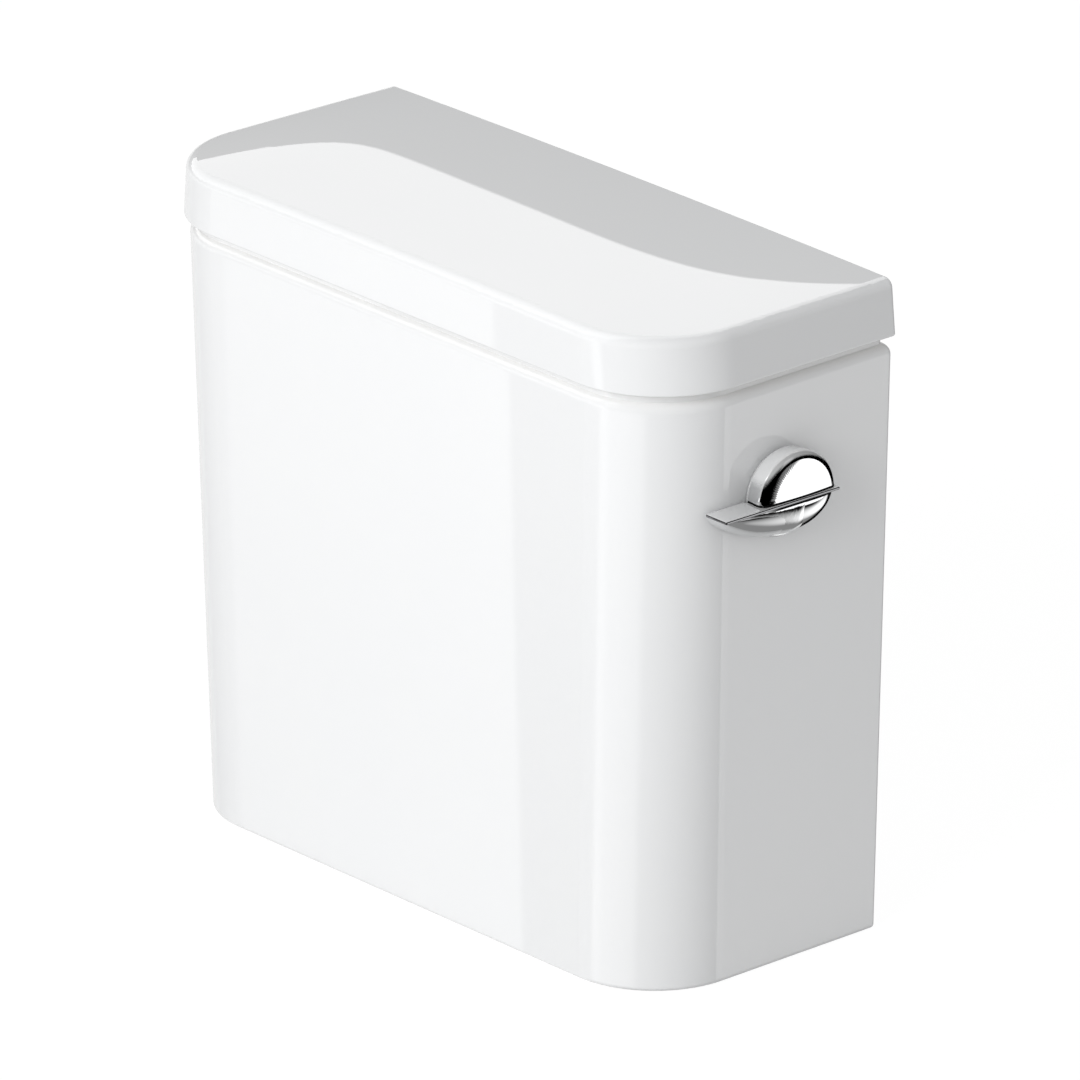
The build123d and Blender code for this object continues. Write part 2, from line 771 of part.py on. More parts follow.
def make_flapper_frame():
    top = frame_bottom + frame_thickness
    frame = post(frame_outer_radius, frame_bottom, top) - post(frame_inner_radius, frame_bottom - overrun,
                                                             top + overrun)
    frame += block((-frame_bar_width / 2, -frame_outer_radius + frame_thickness, frame_bottom),
                   (frame_bar_width / 2, frame_outer_radius - frame_thickness, top))
    foot_radius = eye_radius / 2
    foot_z = frame_bottom + foot_radius
    eye = hull_of((eye_y, eye_z, eye_radius), (eye_y - eye_radius, foot_z, foot_radius),
                  (eye_y + eye_radius, foot_z, foot_radius))
    frame += side_plate(eye, -eye_plate / 2, eye_plate / 2)
    ear_inner = overflow_radius + seat_gap + ear_thickness + moving_gap
    arm_end = -frame_inner_radius
    for side in (-1, 1):
        low, high = sorted((side * ear_inner, side * (ear_inner + flapper_ear_width)))
        outline = hull_of((-hinge_offset, hinge_z, flapper_ear_radius),
                          (arm_end, frame_bottom + frame_thickness, frame_thickness))
        frame += side_plate(outline, low, high)
        bore = peg_radius + running_clearance
        frame -= rod_x(bore, low - moving_gap, high + moving_gap, -hinge_offset, hinge_z)
    frame -= rod_x(eye_hole_radius, -eye_plate, eye_plate, eye_y, eye_z)
    return frame


# Tank bolts, one each side of the outlet
def both_bolts(make_one):
    return [make_one(side * bolt_spacing / 2) for side in (-1, 1)]


bolt_washer_low = floor_thickness + bolt_rubber_thickness
bolt_head_low = bolt_washer_low + bolt_washer_thickness


bolt_nut_low = -bolt_washer_thickness - bolt_nut_thickness


def make_bolt(x):
    top = bolt_head_low + bolt_head_thickness
    bolt = post(bolt_head_radius, bolt_head_low, top, x)
    bolt = fillet(bolt.edges().group_by(Axis.Z)[-1], bolt_head_round)
    bolt += post(bolt_body_radius, bolt_nut_low, bolt_head_low, x)
    bolt += post(bolt_radius, bolt_head_low - bolt_length, bolt_nut_low, x)
    slot = Pos(x, 0, top) * Box(2 * bolt_head_radius, bolt_slot_width, 2 * bolt_slot_depth)
    return bolt - slot


def make_bolt_rubber(x):
    washer = post(bolt_rubber_radius, floor_thickness, bolt_washer_low, x)
    bore = bolt_radius + thread_clearance
    return washer - post(bore, floor_thickness - overrun, bolt_washer_low + overrun, x)


def make_bolt_flat_washer(x, low):
    high = low + bolt_washer_thickness
    washer = post(bolt_washer_radius, low, high, x)
    return washer - post(bolt_radius + thread_clearance, low - overrun, high + overrun, x)


def make_bolt_nut(x):
    return hex_nut(bolt_nut_flats, bolt_radius + thread_clearance, bolt_nut_low, -bolt_washer_thickness, x)


# Fill valve
fill_flange_low = floor_thickness + shank_washer_thickness
fill_flange_high = fill_flange_low + shank_flange_thickness


def make_fill_valve_base():
    socket = riser_radius + running_clearance
    base = turned([(shank_bore, -shank_drop), (shank_radius, -shank_drop),
                   (shank_radius, -shank_nut_thickness), (shank_body_radius, -shank_nut_thickness),
                   (shank_body_radius, fill_flange_low),
                   (shank_flange_radius, fill_flange_low), (shank_flange_radius, fill_flange_high),
                   (fill_base_radius, fill_flange_high), (fill_base_radius, fill_base_top),
                   (socket, fill_base_top), (socket, riser_foot),
                   (shank_bore, riser_foot)], fill_x, fill_y)
    return base


def make_shank_washer():
    inner = shank_radius + thread_clearance
    return turned([(inner, floor_thickness), (shank_washer_radius, floor_thickness),
                   (shank_washer_radius, fill_flange_low), (inner, fill_flange_low)], fill_x, fill_y)


def make_shank_nut():
    return hex_nut(shank_nut_flats, shank_radius + thread_clearance, -shank_nut_thickness, 0, fill_x, fill_y)


riser_top = head_bottom + head_height / 2


def make_riser():
    tube = post(riser_radius, riser_foot, riser_top, fill_x, fill_y)
    return tube - post(riser_bore, riser_foot - overrun, riser_top + overrun, fill_x, fill_y)


def ring_of_grips(count, radius, grip, low, high):
    grips = []
    for number in range(count):
        angle = 2 * math.pi * number / count
        grip_x = fill_x + radius * math.cos(angle)
        grip_y = fill_y + radius * math.sin(angle)
        grips.append(post(grip, low, high, grip_x, grip_y))
    return grips


def make_lock_ring():
    low = fill_base_top - lock_ring_skirt
    high = fill_base_top + lock_ring_lip
    inner = fill_base_radius + seat_gap
    lip_inner = riser_radius + seat_gap
    ring = turned([(inner, low), (lock_ring_radius, low), (lock_ring_radius, high), (lip_inner, high),
                   (lip_inner, fill_base_top), (inner, fill_base_top)], fill_x, fill_y)
    for grip in ring_of_grips(lock_ring_grips, lock_ring_radius, grip_radius, low, high):
        ring += grip
    return ring


def refill_direction():
    """Level unit direction from the fill valve's axis to the overflow tube's."""
    run_x = -fill_x
    run_y = -overflow_offset - fill_y
    run = math.hypot(run_x, run_y)
    return run_x / run, run_y / run, run


refill_x, refill_y, refill_run = refill_direction()
nipple_z = head_bottom + head_height * nipple_height_share
refill_heading = math.degrees(math.atan2(refill_y, refill_x))


def along_refill(distance, height):
    return (fill_x + refill_x * distance, fill_y + refill_y * distance, height)


def nipple_rod(radius, start, end, height):
    """Level rod on the line from the fill valve to the overflow tube."""
    place = Pos(*along_refill(start, height)) * Rot(0, 0, refill_heading) * Rot(0, quarter_turn, 0)
    return place * Cylinder(radius, end - start, align=BASE)


def make_fill_valve_head():
    cone_top = head_bottom + head_cone_height
    ledge = head_top - diaphragm_thickness
    head = turned([(0, head_bottom), (head_neck_radius, head_bottom), (head_radius, cone_top),
                   (head_radius, head_top), (0, head_top)], fill_x, fill_y)
    nipple_radius = refill_tube_bore - nipple_play
    nipple_end = head_radius + head_nipple_length
    head += nipple_rod(nipple_radius, head_radius - wall / 2, nipple_end, nipple_z)
    head -= nipple_rod(nipple_bore, head_radius - wall / 2, nipple_end + overrun, nipple_z)
    head -= post(riser_radius + running_clearance, head_bottom - overrun, riser_top, fill_x, fill_y)
    head -= post(riser_bore, riser_top - overrun, head_top, fill_x, fill_y)
    head -= post(chamber_radius, ledge - chamber_depth, head_top + overrun, fill_x, fill_y)
    return head - post(diaphragm_radius + seat_gap, ledge, head_top + overrun, fill_x, fill_y)


def make_diaphragm():
    return post(diaphragm_radius, head_top - diaphragm_thickness, head_top, fill_x, fill_y)


def make_fill_valve_cap():
    inner = head_radius + seat_gap
    skirt_low = head_top - cap_skirt
    cap = turned([(0, head_top), (inner, head_top), (inner, skirt_low), (cap_radius, skirt_low),
                  (cap_radius, cap_top), (0, cap_top)], fill_x, fill_y)
    cap = fillet(cap.edges().group_by(Axis.Z)[-1], cap_round)
    for grip in ring_of_grips(cap_grips, cap_radius, grip_radius, skirt_low, cap_top - cap_round):
        cap += grip
    outline = hull_of((lever_pin_y, lever_pin_z, lever_ear_radius),
                      (lever_pin_y, cap_top - lever_ear_radius, lever_ear_radius))
    for side in (-1, 1):
        inner_x = side * lever_ear_gap / 2
        low, high = sorted((inner_x, inner_x + side * lever_ear_thickness))
        cap += side_plate(outline, fill_x + low, fill_x + high)
    pin_reach = lever_ear_gap / 2 + lever_ear_thickness
    return cap - rod_x(lever_pin_radius + running_clearance, fill_x - pin_reach - overrun,
                       fill_x + pin_reach + overrun, lever_pin_y, lever_pin_z)


def make_lever_pin():
    reach = lever_ear_gap / 2 + lever_ear_thickness
    return rod_x(lever_pin_radius, fill_x - reach, fill_x + reach, lever_pin_y, lever_pin_z)


# Valve lever: drawn level, then tipped down to where the empty cistern's float leaves it
def make_valve_lever():
    half = valve_lever_thickness / 2
    tip = lever_pin_y - valve_lever_reach
    hub = rod_x(valve_lever_hub_radius, fill_x - valve_lever_width / 2, fill_x + valve_lever_width / 2,
                lever_pin_y, lever_pin_z)
    strip = Pos(fill_x, 0, lever_pin_z - half) * extrude(
        make_hull([*(Pos(0, lever_pin_y) * Circle(half)).edges(),
                   *(Pos(0, tip) * Circle(valve_lever_width / 2 + half)).edges()]), valve_lever_thickness)
    lever = hub + strip
    lever -= rod_x(lever_pin_radius + running_clearance, fill_x - valve_lever_width,
                   fill_x + valve_lever_width, lever_pin_y, lever_pin_z)
    drift = valve_lever_reach * (1 - math.cos(half_swing)) + half * math.sin(half_swing)
    slot_radius = level_screw_radius + seat_gap + drift
    lever -= Pos(fill_x, tip, 0) * post(slot_radius, lever_pin_z - wall, lever_pin_z + wall)
    pivot = Axis((fill_x, lever_pin_y, lever_pin_z), (1, 0, 0))
    return lever.rotate(pivot, valve_lever_swing / 2)


# Float cup, open at the bottom, sliding on the riser
def make_float_cup():
    low = float_top - float_height
    sleeve_bore = riser_radius + float_sleeve_play
    cup = post(float_radius, low, float_top, fill_x, fill_y)
    cup = fillet(cup.edges().group_by(Axis.Z)[-1], float_edge_round)
    hollow = post(float_radius - float_wall, low - overrun, float_top - float_wall, fill_x, fill_y)
    hollow = fillet(hollow.edges().group_by(Axis.Z)[-1], float_edge_round - float_wall)
    hollow -= post(sleeve_bore + float_wall, low - overrun, float_top, fill_x, fill_y)
    cup -= hollow
    boss_low = float_top - float_edge_round - clip_boss_height
    boss = Pos(fill_x, 0, boss_low) * extrude(
        make_hull([*(Pos(0, level_screw_y) * Circle(clip_boss_radius)).edges(),
                   *(Pos(0, fill_y - float_radius + float_wall) * Circle(clip_boss_radius)).edges()]),
        clip_boss_height)
    inside = post(float_radius - float_wall / 2, boss_low - overrun, float_top, fill_x, fill_y)
    cup += boss - inside
    cup -= post(sleeve_bore, low - overrun, float_top + overrun, fill_x, fill_y)
    return cup - post(level_screw_radius + running_clearance, boss_low - overrun,
                      boss_low + clip_boss_height + overrun, fill_x, level_screw_y)


def make_level_screw():
    tilt_room = level_head_radius * math.sin(half_swing) + seat_gap
    half = valve_lever_thickness / 2 / math.cos(half_swing)
    collar_top = valve_lever_tip_z - half - tilt_room
    head_low = valve_lever_tip_z + half + tilt_room
    head_high = head_low + level_head_height
    screw = post(level_screw_radius, head_high - level_screw_length, head_high, fill_x, level_screw_y)
    screw += post(level_head_radius, collar_top - level_collar_height, collar_top, fill_x, level_screw_y)
    screw += post(level_head_radius, head_low, head_high, fill_x, level_screw_y)
    slot = Pos(fill_x, level_screw_y, head_high) * Box(2 * level_head_radius, screw_slot_width,
                                                       2 * screw_slot_width)
    return screw - slot


# Refill tube from the fill valve's head to the clip on the overflow tube
clip_angle = math.radians(refill_clip_angle)
nozzle_at = refill_run - refill_nozzle_offset
clip_root_z = overflow_top + refill_clip_rise
elbow_offset = refill_nozzle_radius


def make_refill_tube():
    start = head_radius + seat_gap
    end_x = nozzle_at - elbow_offset
    end_z = clip_root_z + elbow_offset * math.tan(clip_angle)
    corner_x = end_x - (nipple_z - end_z) / math.tan(clip_angle)
    path = FilletPolyline(along_refill(start, nipple_z), along_refill(corner_x, nipple_z),
                          along_refill(end_x, end_z), radius=refill_bend_radius)
    mouth = Plane(origin=path @ 0, z_dir=path % 0)
    ring = Circle(refill_tube_radius) - Circle(refill_tube_bore)
    tube = sweep(mouth * ring, path=path)
    expected = math.pi * (refill_tube_radius ** 2 - refill_tube_bore ** 2) * path.length
    print("refill tube", round(path.length, 1), "long, bend radius", refill_bend_radius,
          "volume ratio", round(tube.volume / expected, 4))
    return tube


def make_refill_clip():
    nipple_radius = refill_tube_bore - nipple_play
    x, y, _ = along_refill(nozzle_at, 0)
    clip = post(refill_nozzle_radius, overflow_top - refill_nozzle_drop, clip_root_z, x, y)
    clip += Pos(x, y, clip_root_z) * Sphere(refill_nozzle_radius)
    lean = Pos(x, y, clip_root_z) * Rot(0, 0, refill_heading) * Rot(0, -refill_clip_angle, 0)
    nipple = lean * Cylinder(nipple_radius, clip_nipple_length + elbow_offset, align=BASE)
    clip += nipple
    clip -= lean * Cylinder(nipple_bore, clip_nipple_length + elbow_offset + overrun, align=BASE)
    clip -= post(nipple_bore, overflow_top - refill_nozzle_drop - overrun, clip_root_z, x, y)
    outer_leg = overflow_radius + seat_gap + clip_leg_thickness
    bridge_low = overflow_top + seat_gap
    frame = Pos(0, -overflow_offset, 0) * Rot(0, 0, refill_heading)
    legs = block((-outer_leg, -clip_half_span, overflow_top - clip_leg_drop),
                 (-outer_leg + clip_leg_thickness, clip_half_span, bridge_low + clip_leg_thickness))
    bridge = block((-outer_leg, -clip_half_span, bridge_low),
                   (-refill_nozzle_offset, clip_half_span, bridge_low + clip_leg_thickness))
    hook = frame * (legs + bridge)
    hook -= post(overflow_radius + seat_gap, overflow_top - clip_leg_drop - overrun, bridge_low, 0.0,
                 -overflow_offset)
    hook -= post(nipple_bore, bridge_low - overrun, clip_root_z + overrun, x, y)
    return clip + hook


# Write every piece
def build_all():
    shell = make_tank_shell()
    flat_washers = both_bolts(lambda x: make_bolt_flat_washer(x, bolt_washer_low))
    flat_washers += both_bolts(lambda x: make_bolt_flat_washer(x, -bolt_washer_thickness))
    return {
        "tank_shell": shell,
        "lid": make_lid(),
        "rim_pads": make_rim_pads(),
        "flush_handle": make_flush_handle(),
        "handle_escutcheon": make_escutcheon(),
        "handle_gasket": make_handle_gasket(shell),
        "handle_bushing": make_bushing(),
        "bushing_washer": make_bushing_washer(shell),
        "bushing_nut": make_bushing_nut(),
        "handle_spindle": make_spindle(),
        "trip_arm_hub": make_hub(),
        "hub_screw": make_hub_screw(),
        "trip_arm": make_trip_arm(),
        "chain_clip": make_chain_clip(),
        "lift_chain": make_lift_chain(),
        "flush_valve_body": make_flush_valve_body(),
        "overflow_tube": make_overflow_tube(),
        "flush_valve_washer": make_flush_valve_washer(),
        "flush_valve_nut": make_flush_valve_nut(),
        "tank_to_bowl_gasket": make_bowl_gasket(),
        "flapper_seal": make_flapper_seal(),
        "flapper_frame": make_flapper_frame(),
        "tank_bolts": both_bolts(make_bolt),
        "bolt_rubber_washers": both_bolts(make_bolt_rubber),
        "bolt_flat_washers": flat_washers,
        "bolt_nuts": both_bolts(make_bolt_nut),
        "fill_valve_base": make_fill_valve_base(),
        "shank_washer": make_shank_washer(),
        "shank_nut": make_shank_nut(),
        "riser_tube": make_riser(),
        "riser_lock_ring": make_lock_ring(),
        "fill_valve_head": make_fill_valve_head(),
        "valve_diaphragm": make_diaphragm(),
        "fill_valve_cap": make_fill_valve_cap(),
        "valve_lever_pin": make_lever_pin(),
        "valve_lever": make_valve_lever(),
        "float_cup": make_float_cup(),
        "level_screw": make_level_screw(),
        "refill_tube": make_refill_tube(),
        "refill_clip": make_refill_clip(),
    }


os.makedirs("parts", exist_ok=True)
for node, shape in build_all().items():
    solids = shape if isinstance(shape, list) else [shape]
    pieces = [solid for item in solids for solid in item.solids()]
    export_step(Compound(children=pieces), f"parts/{node}.step")
print("lever side", round(lever_side, 2), "eye", round(eye_y, 2), round(eye_z, 2))
print("chain", round(chain_length, 2), "link", round(link_length, 2))
print("lever pin y", round(lever_pin_y, 2), "reach", round(valve_lever_reach, 2))
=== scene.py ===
# %% [markdown]
# # A cistern of glazed china
# The part is a close-coupled toilet cistern: a white china tank with a lift-off lid, a chrome lever on its
# right-hand side, and a flush valve, a fill valve and a float inside. The solids come from CAD and already
# have the right shape and place. This script gives them their finishes, adds what CAD leaves out, and sets
# up the studio.

# %% Load the solids
import json
import math

import bmesh
import bpy
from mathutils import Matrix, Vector


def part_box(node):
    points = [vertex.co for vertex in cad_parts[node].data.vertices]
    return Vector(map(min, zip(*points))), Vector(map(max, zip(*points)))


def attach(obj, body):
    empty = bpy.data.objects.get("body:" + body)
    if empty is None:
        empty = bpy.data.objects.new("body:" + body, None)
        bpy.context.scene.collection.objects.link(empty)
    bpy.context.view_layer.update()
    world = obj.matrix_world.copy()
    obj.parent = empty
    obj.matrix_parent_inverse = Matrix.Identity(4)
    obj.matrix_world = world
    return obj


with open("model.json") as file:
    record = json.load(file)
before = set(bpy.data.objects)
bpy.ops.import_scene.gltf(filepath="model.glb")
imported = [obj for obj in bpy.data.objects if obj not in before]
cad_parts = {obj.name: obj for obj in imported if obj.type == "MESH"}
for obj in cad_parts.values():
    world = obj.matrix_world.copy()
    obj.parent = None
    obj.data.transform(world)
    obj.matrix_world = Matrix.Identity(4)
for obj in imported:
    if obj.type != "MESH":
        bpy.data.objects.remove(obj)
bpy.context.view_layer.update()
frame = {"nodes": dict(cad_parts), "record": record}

nodes = frame["nodes"]
record = frame["record"]
body_of_node = {node: body for body, members in record["behaviour"]["bodies"].items() for node in members}
slot_of_node = {piece["node"]: piece["material_slot"] for piece in record["subparts"]}
scene = bpy.context.scene

# %% [markdown]
# ## Camera
# The photograph was taken from far away with a long lens, so its edges hardly converge. Solving the
# picture's straight edges gave a camera 8.4 m away, 49 degrees round to the right of the front and 21
# degrees up. It is easiest to read as a point to aim at, two angles and a distance. The lens then follows
# from how large the tank is in the frame.

# %% Set the camera
AIM = Vector((0.00689, -0.01853, 0.18600))
CAMERA_TURN = math.radians(48.82)
CAMERA_RISE = math.radians(21.266)
CAMERA_DISTANCE = 8.4134
CAMERA_REACH = 60.0
SENSOR_MM = 36.0
FRAME_PIXELS = 1080
FOCAL_PIXELS = 15845


def direction(turn, rise):
    """Unit vector towards a place that is turned right from the front and raised by two angles."""
    return Vector((math.sin(turn) * math.cos(rise), -math.cos(turn) * math.cos(rise), math.sin(rise)))


def face_the_aim(thing, turn, rise, distance):
    """Put a camera or a lamp at a distance from the aim, facing it."""
    away = direction(turn, rise)
    thing.location = AIM + distance * away
    thing.rotation_euler = (-away).to_track_quat("-Z", "Y").to_euler()
    scene.collection.objects.link(thing)


camera = bpy.data.objects.new("camera", bpy.data.cameras.new("camera"))
face_the_aim(camera, CAMERA_TURN, CAMERA_RISE, CAMERA_DISTANCE)
scene.camera = camera
camera.data.sensor_width = SENSOR_MM
camera.data.lens = FOCAL_PIXELS / FRAME_PIXELS * SENSOR_MM
camera.data.clip_end = CAMERA_REACH
print("camera", [round(v, 3) for v in camera.location], "lens", round(camera.data.lens, 1), "mm")

# %% [markdown]
# ## Writing shaders as sums
# A node tree is hard to read as a list of links. The small class below wraps one socket. A plus, minus,
# times or divide on it adds the Math node that does that sum, so a mask can be written as an expression.
# Every other node comes from its one method `node`, which takes the node's kind, then its settings, then
# what goes into its sockets.

# %% A socket that can be added and multiplied
class Field:
    """A socket in a node tree. Sums on it add Math nodes, and node() adds any other kind."""

    def __init__(self, tree, socket=None):
        self.tree = tree
        self.socket = socket

    def node(self, kind, settings=None, inputs=None, out=0):
        made = self.tree.nodes.new("ShaderNode" + kind)
        for name, value in (settings or {}).items():
            setattr(made, name, value)
        for name, value in (inputs or {}).items():
            if isinstance(value, Field):
                self.tree.links.new(value.socket, made.inputs[name])
            else:
                made.inputs[name].default_value = value
        return Field(self.tree, made.outputs[out] if len(made.outputs) else None)

    def math(self, operation, *values):
        return self.node("Math", {"operation": operation}, dict(enumerate(values)))

    def __add__(self, other):
        return self.math("ADD", self, other)

    def __radd__(self, other):
        return self.math("ADD", other, self)

    def __sub__(self, other):
        return self.math("SUBTRACT", self, other)

    def __rsub__(self, other):
        return self.math("SUBTRACT", other, self)

    def __mul__(self, other):
        return self.math("MULTIPLY", self, other)

    def __rmul__(self, other):
        return self.math("MULTIPLY", other, self)

    def __truediv__(self, other):
        return self.math("DIVIDE", self, other)

    def __pow__(self, power):
        return self.math("POWER", self, power)

    def __abs__(self):
        return self.math("ABSOLUTE", self)

    def or_more(self, other):
        """The larger of two values. For masks, where either is 1."""
        return self.math("MAXIMUM", self, other)

    def step(self, low, high):
        """0 below low and 1 above high, with a smooth rise between them."""
        ends = {"Value": self, "From Min": low, "From Max": high}
        return self.node("MapRange", {"interpolation_type": "SMOOTHSTEP"}, ends)

    def axes(self):
        """The x, y and z of a place or a direction, as three values."""
        split = self.node("SeparateXYZ", inputs={0: self}).socket.node
        return [Field(self.tree, output) for output in split.outputs]


def mixed(factor, first, second):
    """Colour between two colours, through a Mix node so that it stays a colour."""
    first_socket, second_socket = 6, 7
    ends = {first_socket: first if isinstance(first, Field) else (*first, 1.0),
            second_socket: second if isinstance(second, Field) else (*second, 1.0)}
    return factor.node("Mix", {"data_type": "RGBA"}, {0: factor, **ends}, out=2)


def ray_kinds(start):
    """1 on the camera's own rays, on mirrored rays and on rays through a clear piece, as three values."""
    path = start.node("LightPath").socket.node
    kinds = ("Camera", "Glossy", "Transmission")
    return [Field(start.tree, path.outputs[f"Is {kind} Ray"]) for kind in kinds]


def grey(value):
    return (value, value, value, 1.0)


print("shader sums ready")

# %% [markdown]
# ## The studio
# Glossy china and chrome show the room more than they show themselves, so the room decides how they look.
# It could be built from real sheets and lamps, but a world shader holds it all in one place: it is a
# brightness for each direction that a mirrored ray takes, written in that direction's x (right), y (back)
# and z (up). Every sheet is a product of edges. An edge is 1 on one side of a limit and 0 on the other, and
# its softness says how far it is out of focus.

# %% Edges of the studio's sheets
SOFT = 0.05
FIRM = 0.03
CRISP = 0.01


def below(value, limit, softness=SOFT):
    """1 where the value is below the limit, falling to 0 above it."""
    return 1 - value.step(limit - softness, limit + softness)


def above(value, limit, softness=SOFT):
    """1 where the value is above the limit, falling to 0 below it."""
    return value.step(limit - softness, limit + softness)


print("edges from", CRISP, "to", SOFT, "soft")

# %% [markdown]
# ### The cloth above
# In the photograph the lid's top is light in front and grey behind, with a curved border between. That
# border is the lower edge of a large white cloth above and behind the tank on the left, mirrored in the
# crowned glaze. The cloth hangs a little askew, so its edge is a limit of z less a share of x. On the right
# there are black flags, with one grey wall between them.

# %% The room above the horizon
CLOTH_BRIGHT = 2.15
CLOTH_EDGE = 0.7346
CLOTH_TILT_SHARE = 0.5581
CLOTH_SOFTNESS = 0.0006
ROOM_GREY = 0.52
ROOM_SIDE = -0.12
WALL_GREY = 0.28
WALL_SIDE = 0.55
WALL_FRONT = 0.12
WALL_BACK = 0.45
WALL_FOOT = 0.3
WALL_FOOT_SOFTNESS = 0.1


def upper_room(x, y, z):
    cloth = above(z - CLOTH_TILT_SHARE * x, CLOTH_EDGE, CLOTH_SOFTNESS)
    behind = ROOM_GREY + cloth * (CLOTH_BRIGHT - ROOM_GREY)
    wall = above(x, WALL_SIDE) * above(y, WALL_FRONT, FIRM) * below(y, WALL_BACK)
    return behind * below(x, ROOM_SIDE) + wall * above(z, WALL_FOOT, WALL_FOOT_SOFTNESS) * WALL_GREY


print("cloth", CLOTH_BRIGHT, "bright over a room of", ROOM_GREY)

# %% [markdown]
# ### The panels on the left
# The tank's front mirrors what stands low on the left: a duller wall, then one bright panel, a gap and
# another panel. The two ends of the bright panel are the faint grey strips on the front. The panels stand
# upright, so each end is a limit of y over x, whatever the height.

# %% The room below the horizon on the left
DULL_PANEL = 0.75
BRIGHT_PANEL = 1.25
BRIGHT_FROM = 0.8237
BRIGHT_TO = 0.8564
PANEL_SOFTNESS = 0.0004
GAP_GREY = 0.40
NEXT_PANEL = 1.5
NEXT_FROM = 2.0
NEXT_SOFTNESS = 0.35
PANELS_TOP = -0.17
PANELS_TOP_SOFTNESS = 0.04
PANELS_SIDE = -0.25
BEHIND_PANEL = 0.95
BEHIND_SIDE = -0.5


def lower_left(x, y, z):
    slope = y / x
    panels = (DULL_PANEL
              + above(slope, BRIGHT_FROM, PANEL_SOFTNESS) * (BRIGHT_PANEL - DULL_PANEL)
              - above(slope, BRIGHT_TO, PANEL_SOFTNESS) * (BRIGHT_PANEL - GAP_GREY)
              + above(slope, NEXT_FROM, NEXT_SOFTNESS) * (NEXT_PANEL - GAP_GREY))
    over = above(z, PANELS_TOP, PANELS_TOP_SOFTNESS)
    in_front = below(y, 0.0)
    ahead = (panels * (1 - over) + over * BRIGHT_PANEL) * below(x, PANELS_SIDE) * in_front
    return ahead + below(x, BEHIND_SIDE) * (1 - in_front) * BEHIND_PANEL


print("bright panel from slope", BRIGHT_FROM, "to", BRIGHT_TO)

# %% [markdown]
# ### The card on the right
# A round white card stands behind on the right and fills the lever's face, and a thin grey rim round it
# keeps that face apart from the black flags. A soft glow under the card lights the lever's belly, the
# ground is dark grey, and one narrow sheet in front gives the belly its long highlight.

# %% The room below the horizon on the right
CARD_BACK = 0.643
CARD_HEIGHT = -0.363
CARD_RADIUS = 0.132
CARD_SOFTNESS = 0.003
CARD_SIDE = 0.2
CARD_BRIGHT = 1.25
RIM_WIDTH = 0.010
RIM_SOFTNESS = 0.002
RIM_GREY = 0.18
GLOW_TOWARDS = (0.28, 0.77, -0.573)
GLOW_EDGE = 0.95
GLOW_CORE = 0.995
GROUND_GREY = 0.24
GROUND_TOP = -0.56
GROUND_SOFTNESS = 0.04
FLAG_BACK = 0.7
FLAG_SOFTNESS = 0.1
SHEET_BRIGHT = 1.1
SHEET_FRONT = -0.80
SHEET_SIDE = -0.25
SHEET_TOP = -0.38
SHEET_FOOT = -0.5


def lower_right(x, y, z):
    from_card = ((y - CARD_BACK) * (y - CARD_BACK) + (z - CARD_HEIGHT) * (z - CARD_HEIGHT)) ** (1 / 2)
    card = below(from_card, CARD_RADIUS, CARD_SOFTNESS) * CARD_BRIGHT
    rim = below(from_card, CARD_RADIUS + RIM_WIDTH, RIM_SOFTNESS) * RIM_GREY
    glow = (x * GLOW_TOWARDS[0] + y * GLOW_TOWARDS[1] + z * GLOW_TOWARDS[2]).step(GLOW_EDGE, GLOW_CORE)
    flag = above(y, FLAG_BACK) * below(x, 0.0, FLAG_SOFTNESS)
    ground = below(z, GROUND_TOP, GROUND_SOFTNESS) * (1 - flag) * GROUND_GREY
    sheet = below(y, SHEET_FRONT) * above(x, SHEET_SIDE) * below(z, SHEET_TOP, CRISP) * above(z, SHEET_FOOT)
    return card.or_more(rim) * above(x, CARD_SIDE) + glow + ground + sheet * SHEET_BRIGHT


print("card", CARD_RADIUS, "in radius with a rim of", RIM_WIDTH)

# %% [markdown]
# ### Putting the room together
# Only mirrored rays see the room. The camera, and rays that have gone through a clear piece, see plain
# white, and matt surfaces get an even light from all round.

# %% Make the room
HORIZON_SOFTNESS = 0.02
AMBIENT = 0.47


def make_room():
    world = bpy.data.worlds.new("studio")
    scene.world = world
    world.use_nodes = True
    world.node_tree.nodes.clear()
    start = Field(world.node_tree)
    x, y, z = start.node("TexCoord", out="Generated").axes()
    upper = above(z, 0.0, HORIZON_SOFTNESS)
    room = upper * upper_room(x, y, z) + (1 - upper) * (lower_left(x, y, z) + lower_right(x, y, z))
    from_camera, mirrored, through = ray_kinds(start)
    clear = from_camera.or_more(through)
    strength = mirrored * room + (1 - mirrored) * (clear + (1 - clear) * AMBIENT)
    background = start.node("Background", inputs={"Color": grey(1.0), "Strength": strength})
    background.node("OutputWorld", inputs={"Surface": background})
    return world


print("room", make_room().name)

# %% [markdown]
# ## The lamp
# One large soft lamp in front and a little to the right lights the front most, the lid less and the side
# least. It is left out of reflections, since the room's panels already are what the glaze mirrors.

# %% Hang the lamp
LAMP_TURN = math.radians(12)
LAMP_RISE = math.radians(26)
LAMP_DISTANCE = 3.2
LAMP_SIDE = 1.8
LAMP_WATTS = 55.0

lamp = bpy.data.objects.new("front_cloth", bpy.data.lights.new("front_cloth", "AREA"))
face_the_aim(lamp, LAMP_TURN, LAMP_RISE, LAMP_DISTANCE)
lamp.data.shape = "SQUARE"
lamp.data.size = LAMP_SIDE
lamp.data.energy = LAMP_WATTS
lamp.visible_glossy = False
print("lamp of", LAMP_WATTS, "W")

# %% [markdown]
# ## The floor
# The floor is the plane that the tank stands on, which in use is the shelf of the bowl: the bolts, nuts and
# the sponge gasket go through it and are below it. It lies a hair under the tank's foot, so that the two
# faces don't flicker through each other. The camera sees it mostly as plain white, with a trace of the
# tank's shadow.

